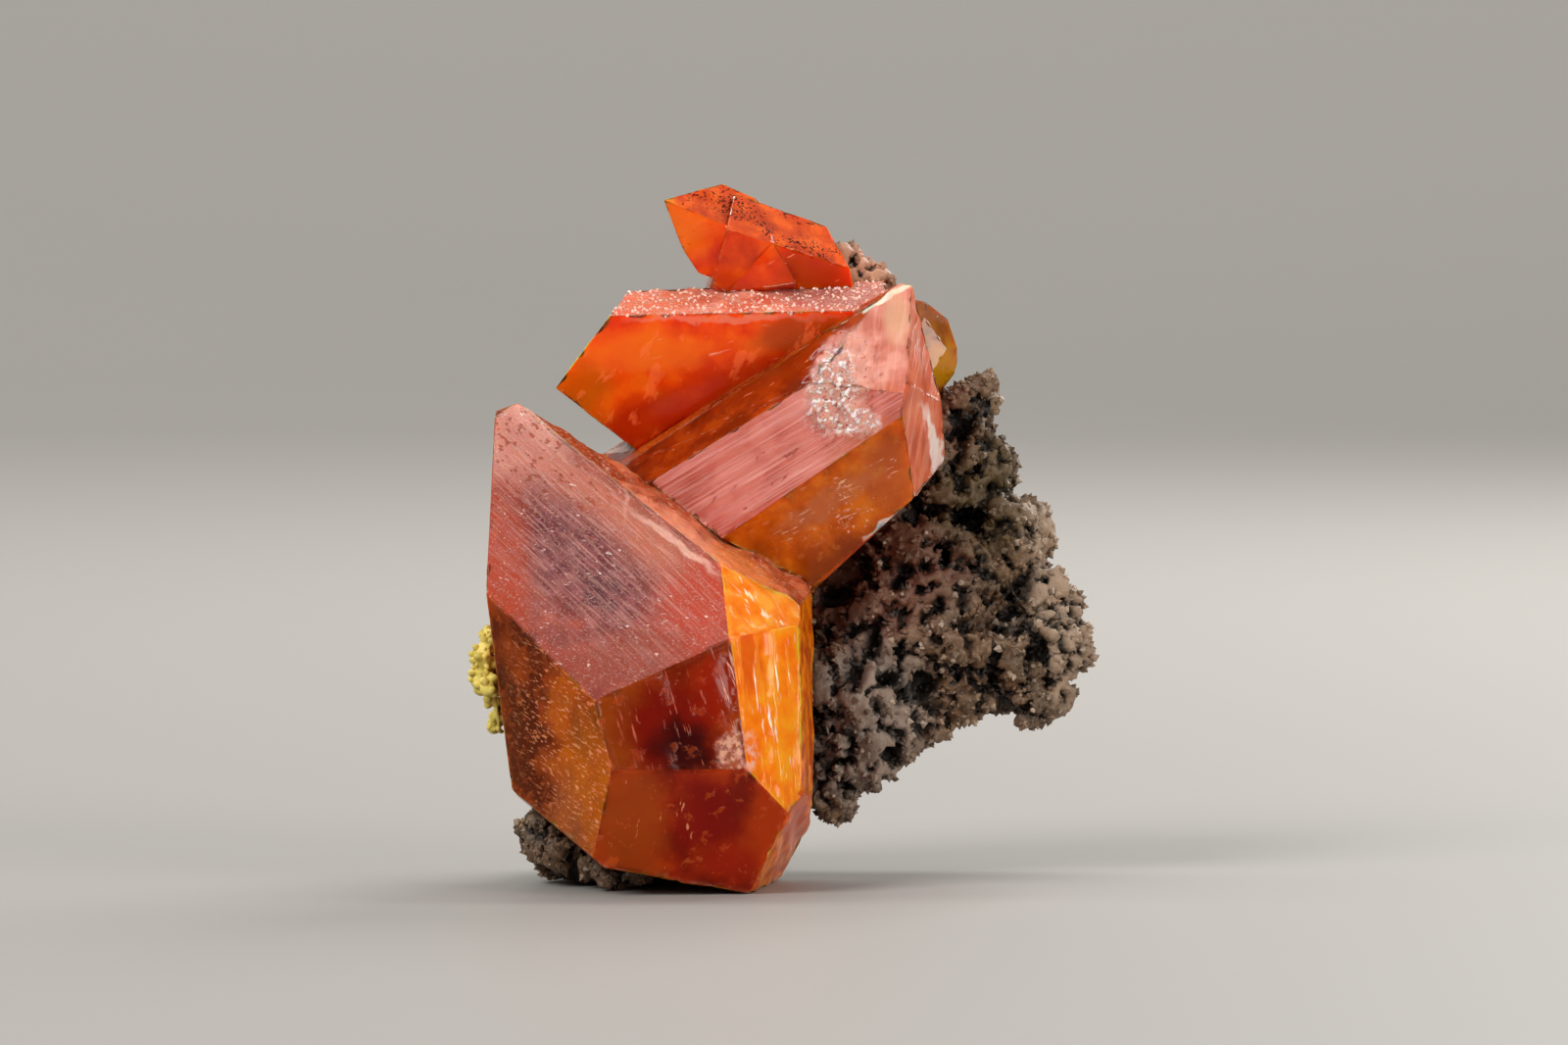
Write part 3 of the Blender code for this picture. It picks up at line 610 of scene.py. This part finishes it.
# the middle crystal's crest catches the light along its whole edge
crestLine = (5.9, 37.6, 2.7, 0.22, 27, 0.5, "FFEBCF", 0.9)
chipRelief = (0.8, 0.9, 1.0, 0, (3.6, 32.4, 2.0, 3.4, -16, 0.5), (4.6, 29.8, 1.4, 0.9, 10, 0.5))
middleLooks = {
    "hidden": {
        "body": ("842A06", "A63C08", "C0500E"), "cloud": 3.4, "rough": 0.2, "clear": 0.12, "glow": 0.65,
        "shine": 0.1,
        "layers": [{"grain": 0.2, "stretch": 5.0, "turn": 31, "band": (0.50, 0.66), "colour": "C06A38",
                    "amount": 0.12, "height": 0.03, "rough": 0.4},
                   {"grain": 1.4, "detail": 4.0, "band": (0.54, 0.68), "colour": "C0643C", "amount": 0.35,
                    "height": 0.05, "rough": 0.4}],
    },
    # smooth groove between the two crystals: dark orange glass with specks
    "darkBand": {
        "body": ("7A2204", "9A3008", "B4440A"), "cloud": 2.0, "rough": 0.12, "clear": 0.2, "glow": 0.6,
        # the pale spot at the left tip is a painted glint
        "spots": [(-10.8, 27.7, 0.9, 0.6, 30, 0.5, "F0D0C0", 0.9), (0.0, 33.4, 3.2, 0.9, 31, 0.9, "962C04", 0.8),
                  crestLine],
        "layers": [
            {"grain": 0.22, "stretch": 6.0, "turn": 31, "band": (0.63, 0.69), "colour": "E08A60", "amount": 0.8,
             "height": 0.03, "bunch": 2.0},
            {"grain": 0.3, "band": (0.66, 0.69), "colour": "240A02", "amount": 0.9, "height": 0.02, "bunch": 2.6},
            *whiteChip,
        ],
        "relief": [(0.12, 1.2, 6.0, 31), chipRelief],
    },
    # long pink face: satin etch lines along the bar; its pink is partly painted sheen
    "pinkFace": {
        "body": ("AC4A38", "BC5848", "C86A5A"), "cloud": 2.8, "rough": 0.3, "clear": 0.03, "glow": 0.3,
        "spots": [(-6.8, 25.4, 2.2, 1.4, 31, 0.9, "A43C22", 0.7), (2.0, 25.2, 4.4, 0.5, 31, 0.8, "B04C1C", 0.8),
                  (4.8, 28.6, 2.2, 1.0, 31, 0.7, "B8501E", 0.8), (2.6, 31.4, 2.4, 1.2, 31, 0.8, "D88070", 0.6)],
        "layers": [
            {"grain": 0.18, "stretch": 40.0, "turn": 31, "detail": 4.0, "band": (0.40, 0.62), "colour": "E8A498",
             "amount": 0.34, "height": 0.03},
            {"grain": 0.8, "stretch": 10.0, "turn": 31, "band": (0.46, 0.62), "colour": "DE9084", "amount": 0.4},
            {"grain": 0.3, "stretch": 2.4, "turn": 40, "detail": 4.0, "band": (0.62, 0.66), "colour": "9A300A",
             "amount": 0.8, "height": -0.05, "bunch": 1.8, "where": [(-0.6, 26.6, 5.5, 1.8, 31, 0.8)]},
            *whiteChip,
        ],
        "relief": [(0.08, 0.7, 10.0, 31), chipRelief],
    },
    # lower face: amber glass with feathery white cracks near its upper edge
    "amberFace": {
        "body": ("B04A08", "CC5E0C", "E07616"), "cloud": 2.0, "rough": 0.12, "clear": 0.15, "glow": 0.85,
        "shine": 0.08,
        "spots": [(4.0, 20.6, 4.0, 1.6, 31, 0.9, "843406", 0.8), (6.6, 26.8, 1.8, 2.0, 20, 0.9, "C4622E", 0.6),
                  (3.0, 24.9, 3.6, 0.7, 31, 0.9, "C87448", 0.6), (6.9, 23.7, 2.4, 0.3, 38, 0.4, "E8CFC2", 0.9)],
        "layers": [
            {"grain": 0.18, "stretch": 5.0, "turn": 24, "detail": 5.0, "band": (0.57, 0.65), "colour": "F4C4A4",
             "amount": 0.8, "height": 0.04, "bunch": 1.8, "where": [(3.4, 25.0, 5.6, 1.7, 31, 0.9)]},
            {"grain": 0.14, "stretch": 2.0, "turn": -50, "detail": 4.0, "band": (0.60, 0.66), "colour": "FFDCC4",
             "amount": 0.8, "height": 0.03, "bunch": 0.9, "where": [(4.2, 24.4, 2.6, 1.6, 31, 0.9)]},
            {"grain": 0.8, "detail": 5.0, "band": (0.54, 0.68), "colour": "C87A34", "amount": 0.4, "height": 0.03},
        ],
        "relief": [(0.12, 1.6, 2.0, 31)],
    },
    # end face: fogged, its pink partly painted sheen, with one rough white chip
    "foggedSheenFace": {
        "body": ("BE6450", "CE7A66", "DE9684"), "cloud": 1.8, "rough": 0.32, "clear": 0.05, "glow": 0.3,
        "wander": 0.8,
        "spots": [crestLine, (7.2, 36.6, 0.8, 1.6, 0, 0.9, "D8A884", 0.7),
                  (6.6, 30.6, 1.2, 1.6, 0, 0.8, "C2582C", 0.8)],
        "layers": [
            {"grain": 0.24, "stretch": 20.0, "turn": 84, "band": (0.46, 0.60), "colour": "EEB0A0", "amount": 0.2,
             "height": 0.03},
            *whiteChip,
        ],
        "relief": [chipRelief, (0.08, 0.8, 6.0, 84)],
    },
    # right side: salmon with a white rim against the quartz
    "rightFace": {
        "body": ("B0441E", "C45430", "D06A44"), "cloud": 2.0, "rough": 0.3, "clear": 0.05, "glow": 0.35,
        "spots": [(9.9, 27.4, 0.5, 3.6, 16, 0.4, "ECDCD4", 0.9)],
        "layers": [{"grain": 0.24, "stretch": 18.0, "turn": 80, "band": (0.46, 0.60), "colour": "E49A7C",
                    "amount": 0.35, "height": 0.03}],
        "relief": [(0.12, 1.0, 3.0, 80)],
    },
    # band along the back crystal's top: sugary, its pink partly painted sheen
    "sugarBand": {
        "body": ("D0583A", "DE7050", "EA8E76"), "cloud": 1.6, "rough": 0.42, "clear": 0.03, "glow": 0.3,
        "spots": [(-8.6, 38.0, 2.6, 1.4, 0, 0.9, "E0683C", 0.7), (3.4, 38.2, 3.8, 1.3, 0, 0.9, "A85A4C", 0.85),
                  (-2.4, 38.7, 4.0, 0.5, 0, 0.9, "C07060", 0.6)],
        "layers": [{"grain": 0.20, "band": (0.52, 0.64), "colour": "FFDCCC", "amount": 0.6, "height": 0.08,
                    "rough": 0.5}],
        "relief": [(0.16, 0.7, 1.6, 5)],
    },
    # back crystal's broad face: lit through, orange over red
    "glowingFace": {
        "body": ("E03C02", "F25206", "FA6C0E"), "cloud": 2.4, "rough": 0.1, "clear": 0.12,
        "glow": 0.9, "glowDepth": 4.0, "shine": 0.1,
        "spots": [(-13.2, 32.2, 2.2, 2.0, 0, 0.9, "D06A0A", 0.8), (-9.4, 29.8, 3.6, 1.3, 31, 0.9, "BC2804", 0.8),
                  (-3.6, 31.6, 5.0, 1.3, 31, 0.9, "C42804", 0.8), (-3.0, 36.5, 6.5, 0.25, 1, 0.6, "F09878", 0.6),
                  (1.2, 35.6, 3.0, 1.1, 10, 0.9, "B4480C", 0.8), (-8.6, 34.4, 3.6, 1.3, 0, 0.9, "FF7A14", 0.75)],
        "layers": [
            {"grain": 0.3, "stretch": 7.0, "turn": 10, "band": (0.64, 0.70), "colour": "FFC8A8", "amount": 0.85,
             "height": 0.03, "bunch": 2.2, "where": [(-3.6, 34.6, 4.6, 1.5, 0, 0.8)]},
            {"grain": 1.2, "stretch": 2.0, "turn": 60, "detail": 4.0, "band": (0.58, 0.66), "colour": "FF8240",
             "amount": 0.5, "height": 0.04},
            {"grain": 0.3, "band": (0.70, 0.72), "colour": "2A0A02", "amount": 0.9,
             "where": [(-3.0, 32.5, 9.0, 2.4, 31, 0.6)]},
        ],
        "relief": [(0.14, 1.8, 3.0, 20)],
    },
}
middleSeeds = {
    "darkBand": [(-6.0, 28.4), (-1.0, 32.6), (-11.2, 28.0)],
    "pinkFace": [(-2.0, 27.0), (2.1, 29.0), (4.4, 30.6)],
    "amberFace": [(3.0, 23.4), (5.4, 25.6)],
    "foggedSheenFace": [(5.6, 34.0), (7.2, 33.0)],
    "rightFace": [(8.6, 30.0), (8.6, 34.0), (8.4, 27.6)],
    "sugarBand": [(-4.0, 38.0), (-10.2, 37.4)],
    "glowingFace": [(-8.0, 33.0), (-4.0, 35.0)],
}
middle = crystalPiece("wulfenite_middle", "middle_crystals", middleCrystals, middleLooks, middleSeeds)

topCrystal = {"bevel": 0.10, "mesh": 0.26, "chipDepth": 0.10, "chipSize": 0.8, "wearRings": 2,
              "grownOn": ["middle_crystals"]}
topLooks = {
    "hidden": {
        "body": ("C03204", "DA4606", "EC5E0A"), "cloud": 2.0, "rough": 0.14, "clear": 0.25,
        "glow": 0.8, "glowDepth": 3.0,
    },
    # lower faces: clear red orange
    "clearFace": {
        "body": ("D83402", "E84402", "F25A02"), "cloud": 1.8, "rough": 0.1, "clear": 0.2, "glow": 0.8, "glowDepth": 3.0,
        "spots": [(-6.6, 42.6, 1.8, 2.2, 0, 0.9, "F87810", 0.8), (1.8, 39.8, 2.2, 1.4, 0, 0.9, "B83402", 0.85)],
        "layers": [{"grain": 0.24, "stretch": 6.0, "turn": 24, "band": (0.66, 0.70), "colour": "FFB080", "amount": 0.7,
                    "height": 0.02, "bunch": 2.0}],
        "relief": [(0.06, 1.4, 2.0, 20)], "wornGlintColour": "F47A30", "wornGlintAmount": 0.5,
    },
    # upper faces: the same crystal dusted with dark specks
    "speckledFace": {
        "body": ("A83404", "BE4206", "D4560A"), "cloud": 1.4, "rough": 0.35, "clear": 0.06, "glow": 0.7, "shine": 0.02,
        "spots": [(-7.8, 43.6, 1.0, 0.9, 0, 0.8, "F08A20", 0.7)],
        "layers": [{"grain": 0.20, "detail": 1.0, "band": (0.56, 0.60), "colour": "2A0E04", "amount": 0.95,
                    "height": 0.03, "bunch": 2.2}],
        "relief": [(0.06, 1.0, 2.0, -20)], "wornGlintColour": "E86A20", "wornGlintAmount": 0.5,
    },
}
topSeeds = {
    "clearFace": [(-5.0, 41.4), (-1.6, 39.8), (1.6, 39.6)],
    "speckledFace": [(-4.0, 44.0), (2.0, 41.0), (0.0, 42.5)],
}
crystalPiece("wulfenite_top", "top_crystal", topCrystal, topLooks, topSeeds)

amberCrystal = {"bevel": 0.08, "mesh": 0.26, "chipDepth": 0.08, "chipSize": 0.8, "wearRings": 1,
                "grownOn": ["middle_crystals"]}
amberLooks = {
    # small clear crystal behind: see-through honey glass, browner where it is thick
    "hidden": {
        "body": ("9A5C0C", "B47410", "D08C18"), "cloud": 1.4, "rough": 0.14, "clear": 0.55, "glow": 0.8, "shine": 0.06,
        # the bright yellow spot is a painted glow where light comes through
        "spots": [(10.1, 33.4, 1.2, 1.5, 0, 0.8, "FFB414", 0.95), (9.6, 36.8, 1.6, 0.5, -20, 0.6, "B07858", 0.6)],
        "wornGlintColour": "C89050", "absorb": ("FFC828", 500.0),
    },
}
crystalPiece("wulfenite_amber", "amber_crystal", amberCrystal, amberLooks, {})

quartzRock = {
    "voxel": 0.21,              # keeps the skin under 200,000 triangles
    "reach": 0.24,              # mm grown outwards, which closes the gap to the crystals
    "lumps": [(0.30, 1.5), (0.24, 0.75)],              # mm tall, mm apart: rounded clusters
    "holes": [(1.40, 2.6, 0.10), (0.80, 1.0, 0.14)],   # mm deep, mm apart, noise where they start
    "dome": (0.75, 1.6),        # a lump's height at its middle, and how steeply it falls off
    "holeShift": (3, 9, 4),     # moves the holes' noise off the lumps' pattern
    "holeWall": 0.2,            # noise over which a hole reaches its depth
    "highest": 0.75,            # mm, the most that a point rises off the solid
    "flatFoot": 0.05,           # mm above the sawn base that stay flat
    "footFade": 0.5,            # mm over which the roughness then comes in
    "rays": 14,
    "rayRise": (0.25, 0.7),     # the flattest ray, and how much steeper the last one is
    "rayLift": 0.04,            # mm off the skin where the rays start
    "rayLength": 2.2,           # mm, how near a wall has to be to close a point in
    "grainsPerSquareMm": 2.7,
    "grainSize": 0.45,
    "seed": 7,
}


def fineSkin(name, node, voxel):
    bm = solidCopy(node)
    mesh = bpy.data.meshes.new(name)
    bm.to_mesh(mesh)
    bm.free()
    piece = newPiece(name, mesh)
    remesh = piece.modifiers.new("fineSkin", "REMESH")
    remesh.mode = "VOXEL"
    remesh.voxel_size = voxel * mm
    settledMesh(piece)
    piece.data.materials.clear()
    return piece


# Gives the rock its clusters and holes, and stores how closed-in each point is, for the painted shade in its hollows.
def roughenRock(piece, values):
    bm = bmesh.new()
    bm.from_mesh(piece.data)
    bmesh.ops.recalc_face_normals(bm, faces=bm.faces)
    bm.normal_update()
    peak, fall = values["dome"]
    shift = Vector(values["holeShift"])
    moves = []
    for vert in bm.verts:
        spot = vert.co / mm
        rise = values["reach"]
        for tall, apart in values["lumps"]:
            near = noise.voronoi(spot / apart)[0][0]
            rise += tall * (peak - fall * near * near)
        for deep, apart, start in values["holes"]:
            hole = noise.noise(spot / apart + shift) + 0.35 * noise.noise(spot / (apart * 0.4))
            rise -= deep * min(1.0, max(0.0, (hole - start) / values["holeWall"]))
        flat = min(1.0, max(0.0, (spot.z - values["flatFoot"]) / values["footFade"]))
        moves.append(vert.normal * min(rise, values["highest"]) * mm * flat)
    for vert, move in zip(bm.verts, moves):
        vert.co += move
        vert.co.z = max(vert.co.z, 0.0)
    bm.normal_update()
    skin = BVHTree.FromBMesh(bm)
    golden = math.pi * (3 - math.sqrt(5))   # spreads the rays evenly round the normal
    lowest, steeper = values["rayRise"]
    rays = []
    for i in range(values["rays"]):
        rise = lowest + steeper * (i + 0.5) / values["rays"]
        flat = math.sqrt(1 - rise * rise)
        rays.append(Vector((flat * math.cos(golden * i), flat * math.sin(golden * i), rise)))
    closed = bm.verts.layers.float.new("creviceShade")
    for vert in bm.verts:
        turned = vert.normal.to_track_quat("Z", "Y")
        start = vert.co + vert.normal * values["rayLift"] * mm
        hits = sum(skin.ray_cast(start, turned @ ray, values["rayLength"] * mm)[0] is not None for ray in rays)
        vert[closed] = hits / len(rays)
    bm.to_mesh(piece.data)
    bm.free()
    piece.data.shade_smooth()


# Drusy quartz: dull grey brown; painted light makes it pale where points stand open, and painted shade makes it near
# black in the holes.
# tones gives single grains their own colour: (tone low, tone high, colour, amount).
def quartzMaterial(name, grainColour, grainAmount, tones=()):
    material, tree, shader = newMaterial(name)
    place = eyePlace(tree)
    colour = "38281A"
    layers = [   # mm, band low, band high, colour, amount
        (3.0, 0.38, 0.56, "583A22", 1.0), (2.2, 0.54, 0.68, "80664A", 1.0), (1.5, 0.56, 0.70, "4E2C16", 0.8),
        (0.9, 0.64, 0.70, "7E4A1E", 0.7), (0.32, 0.46, 0.62, grainColour, grainAmount),
    ]
    for index, (size, low, high, tone, amount) in enumerate(layers):
        shift = addNode(tree, "ShaderNodeVectorMath", {"operation": "ADD"}, {0: place, 1: (7.0 * index, 0, 0)}, 0)
        pattern = addNode(tree, "ShaderNodeTexNoise", {}, {"Vector": shift, "Scale": 1 / size, "Detail": 4.0}, "Fac")
        mask = addNode(tree, "ShaderNodeMapRange", softStep,
                       {"Value": pattern, "From Min": low, "From Max": high, "To Max": amount}, 0)
        colour = addNode(tree, "ShaderNodeMix", colourMix, {0: mask, 6: colour, 7: tone}, 2)
    zones = [   # reddish brown beside the middle crystal, olive higher up, grey at the foot and the right rim
        (6.4, 20.0, 6.4, 3.8, 40, 0.9, "562818", 0.9), (11.2, 28.4, 1.5, 3.4, 10, 0.9, "804C3C", 0.85),
        (12.8, 25.6, 3.0, 4.4, 20, 0.9, "443616", 0.85), (5.2, 10.4, 4.0, 5.4, 0, 0.9, "8C7E74", 0.8),
        (17.8, 18.6, 2.0, 7.0, 10, 0.9, "A48C76", 0.8), (4.6, 39.4, 2.6, 2.6, 0, 0.8, "BE8466", 0.9),
    ]
    warped = wanderedPlace(tree, place, 0.4, 5.0)
    for *ellipse, tone, amount in zones:
        mask = ellipseMask(tree, warped, *ellipse, amount)
        colour = addNode(tree, "ShaderNodeMix", colourMix, {0: mask, 6: colour, 7: tone}, 2)
    tone = addNode(tree, "ShaderNodeAttribute", {"attribute_name": "grainTone"}, output="Fac")
    for low, high, tint, amount in tones:
        mask = addNode(tree, "ShaderNodeMapRange", {},
                       {"Value": tone, "From Min": low, "From Max": high, "To Max": amount}, 0)
        colour = addNode(tree, "ShaderNodeMix", colourMix, {0: mask, 6: colour, 7: tint}, 2)
    closed = addNode(tree, "ShaderNodeAttribute", {"attribute_name": "creviceShade"}, output="Fac")
    # painted light: a little paler where no wall closes the point in
    paintedOpenLight = addNode(tree, "ShaderNodeMapRange", softStep,
                   {"Value": closed, "From Min": 0.0, "From Max": 0.3, "To Min": 0.15, "To Max": 0.0}, 0)
    colour = addNode(tree, "ShaderNodeMix", colourMix, {0: paintedOpenLight, 6: colour, 7: "B49678"}, 2)
    # painted shade: near black where walls close the point in
    deep = addNode(tree, "ShaderNodeMapRange", softStep,
                   {"Value": closed, "From Min": 0.22, "From Max": 0.64, "To Max": 0.97}, 0)
    colour = addNode(tree, "ShaderNodeMix", colourMix, {0: deep, 6: colour, 7: "140D07"}, 2)
    bump = addNode(tree, "ShaderNodeBump", {}, {"Height": pattern, "Distance": 0.12 * mm, "Strength": 1.0}, 0)
    fillSockets(tree, shader, {"Base Color": colour, "Normal": bump, "Roughness": 0.5, "IOR": 1.544,
                               "Specular IOR Level": 0.3})
    return material


rock = fineSkin("quartz_rock", "quartz_matrix", quartzRock["voxel"])
roughenRock(rock, quartzRock)
rock.data.materials.append(quartzMaterial("drusy_quartz_rock", "8C7660", 0.4))
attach(rock, "root")
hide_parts("quartz_matrix")
print("stage: quartz_rock", triangleCount(rock.data), "triangles")


# What is scattered, one unit wide: a six-sided quartz point at both ends, or a ball.
quartzPoint = ("GeometryNodeMeshUVSphere", {}, {"Segments": 6, "Rings": 2, "Radius": 0.5}, 0)
sugarBall = ("GeometryNodeMeshIcoSphere", {}, {"Radius": 0.5, "Subdivisions": 1}, 0)
mimetiteBall = ("GeometryNodeMeshIcoSphere", {}, {"Radius": 0.5, "Subdivisions": 2}, 0)
grainMaking = {
    "stretch": (0.9, 0.9, 1.3),   # a grain stands a little taller than it is wide
    "tilt": 0.7,                  # radians either way off the skin's normal
    "turn": 6.28,
    "smallest": 0.5,              # in grain sizes, as the next one
    "largest": 1.5,
    "toneSeed": 8,
}


# Scatters one small shape on a skin and turns it into plain mesh.
def grainTree(name, shape, material):
    tree = bpy.data.node_groups.new(name, "GeometryNodeTree")
    tree.interface.new_socket("Geometry", in_out="INPUT", socket_type="NodeSocketGeometry")
    for label, kind in (("Density", "NodeSocketFloat"), ("Grain Size", "NodeSocketFloat"),
                        ("Seed", "NodeSocketInt")):
        tree.interface.new_socket(label, in_out="INPUT", socket_type=kind)
    tree.interface.new_socket("Geometry", in_out="OUTPUT", socket_type="NodeSocketGeometry")
    start = addNode(tree, "NodeGroupInput")
    spread = addNode(tree, "GeometryNodeDistributePointsOnFaces", {"distribute_method": "RANDOM"},
                     {"Mesh": start.outputs["Geometry"], "Density": start.outputs["Density"],
                      "Seed": start.outputs["Seed"]})
    grain = addNode(tree, *shape)
    shaft = addNode(tree, "GeometryNodeTransform", {}, {"Geometry": grain, "Scale": grainMaking["stretch"]}, 0)
    most = grainMaking["tilt"]
    tilt = addNode(tree, "FunctionNodeRandomValue", {"data_type": "FLOAT_VECTOR"},
                   {0: (-most, -most, 0.0), 1: (most, most, grainMaking["turn"]),
                    "Seed": start.outputs["Seed"]}, 0)
    turned = addNode(tree, "FunctionNodeRotateRotation", {"rotation_space": "LOCAL"},
                     {"Rotation": spread.outputs["Rotation"], "Rotate By": tilt}, 0)
    index = addNode(tree, "GeometryNodeInputIndex", output=0)
    scale = addNode(tree, "FunctionNodeRandomValue", {"data_type": "FLOAT"},
                    {2: grainMaking["smallest"], 3: grainMaking["largest"], "ID": index}, 1)
    sized = addNode(tree, "ShaderNodeMath", {"operation": "MULTIPLY"}, {0: scale, 1: start.outputs["Grain Size"]}, 0)
    put = addNode(tree, "GeometryNodeInstanceOnPoints", {},
                  {"Points": spread.outputs["Points"], "Instance": shaft, "Rotation": turned, "Scale": sized}, 0)
    chance = addNode(tree, "FunctionNodeRandomValue", {"data_type": "FLOAT"},
                     {2: 0.0, 3: 1.0, "Seed": grainMaking["toneSeed"]}, 1)
    toned = addNode(tree, "GeometryNodeStoreNamedAttribute", {"data_type": "FLOAT", "domain": "INSTANCE"},
                    {"Geometry": put, "Name": "grainTone", "Value": chance}, 0)
    real = addNode(tree, "GeometryNodeRealizeInstances", {}, {"Geometry": toned}, 0)
    dressed = addNode(tree, "GeometryNodeSetMaterial", {}, {"Geometry": real, "Material": material}, 0)
    addNode(tree, "NodeGroupOutput", {}, {"Geometry": dressed})
    return tree


floorClearance = 0.15   # mm, the height that every grain stays above


def scatterGrains(name, mesh, tree, density, size, seed):
    carrier = newPiece(name, mesh)
    grow = carrier.modifiers.new("grains", "NODES")
    grow.node_group = tree
    wanted = {"Density": density / mm ** 2, "Grain Size": size * mm, "Seed": seed}
    for item in tree.interface.items_tree:
        if item.in_out == "INPUT" and item.name in wanted:
            grow[item.identifier] = wanted[item.name]
    settledMesh(carrier)
    bm = bmesh.new()
    bm.from_mesh(carrier.data)
    low = {vert for vert in bm.verts if vert.co.z < floorClearance * mm}
    while True:   # a grain that reaches the floor goes whole
        beside = {other for vert in low for edge in vert.link_edges for other in edge.verts} - low
        if not beside:
            break
        low |= beside
    bmesh.ops.delete(bm, geom=list(low), context="VERTS")
    bm.to_mesh(carrier.data)
    bm.free()
    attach(carrier, "root")
    print("stage:", name, triangleCount(carrier.data), "triangles")
    return carrier


grainTones = [(0.45, 0.0, "2A190D", 0.8), (0.80, 1.0, "C8B6A4", 0.6)]
grains = grainTree("druseGrains", quartzPoint,
                   quartzMaterial("drusy_quartz_grains", "B09478", 0.6, grainTones))
druse = scatterGrains("quartz_druse", rock.data.copy(), grains, quartzRock["grainsPerSquareMm"],
                      quartzRock["grainSize"], quartzRock["seed"])

# sugar grains on the back crystal's top band: bright pink white specks
sugar = {"grainsPerSquareMm": 3.4, "grainSize": 0.18, "seed": 3}
bm = bmesh.new()
bm.from_mesh(middle.data)
band = list(middleLooks).index("sugarBand")
bmesh.ops.delete(bm, geom=[face for face in bm.faces if face.material_index != band], context="FACES")
bandMesh = bpy.data.meshes.new("sugar_grains")
bm.to_mesh(bandMesh)
bm.free()
sugarMaterial, sugarTree, sugarShader = newMaterial("wulfenite_sugar_grains")
fillSockets(sugarTree, sugarShader, {"Base Color": "FACCBC", "Roughness": 0.2, "Subsurface Weight": 0.3,
                                     "Subsurface Radius": glowRadius, "Subsurface Scale": 0.3 * mm})
sugarPiece = scatterGrains("sugar_grains", bandMesh, grainTree("sugarGrains", sugarBall, sugarMaterial),
                           sugar["grainsPerSquareMm"], sugar["grainSize"], sugar["seed"])

crust = {"voxel": 0.14, "ballsPerSquareMm": 4.0, "ballSize": 0.5, "seed": 5}
# botryoidal mimetite: matt mustard yellow balls, one rusty patch
mimetite, mimetiteTree, mimetiteShader = newMaterial("botryoidal_mimetite")
place = eyePlace(mimetiteTree)
cloud = addNode(mimetiteTree, "ShaderNodeTexNoise", {}, {"Vector": place, "Scale": 1.25, "Detail": 3.0}, "Fac")
mask = addNode(mimetiteTree, "ShaderNodeMapRange", {}, {"Value": cloud, "From Min": 0.35, "From Max": 0.6}, 0)
colour = addNode(mimetiteTree, "ShaderNodeMix", colourMix, {0: mask, 6: "B4A03A", 7: "ECD468"}, 2)
rusty = ellipseMask(mimetiteTree, place, -18.0, 9.2, 0.9, 0.9, 0, 0.5)
colour = addNode(mimetiteTree, "ShaderNodeMix", colourMix, {0: rusty, 6: colour, 7: "7A4A24"}, 2)
fillSockets(mimetiteTree, mimetiteShader, {"Base Color": colour, "Roughness": 0.5})
crustSkin = fineSkin("mimetite_crust_skin", "mimetite_crust", crust["voxel"])
crustSkin.data.materials.append(mimetite)
crustSkin.data.shade_smooth()
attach(crustSkin, "root")
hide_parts("mimetite_crust")
balls = scatterGrains("mimetite_balls", crustSkin.data.copy(), grainTree("mimetiteBalls", mimetiteBall, mimetite),
                      crust["ballsPerSquareMm"], crust["ballSize"], crust["seed"])
balls.data.shade_smooth()

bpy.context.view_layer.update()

total = sum(triangleCount(item.data) for item in scene.objects if item.type == "MESH" and item.visible_get())
print("stage: all visible meshes", total, "triangles")
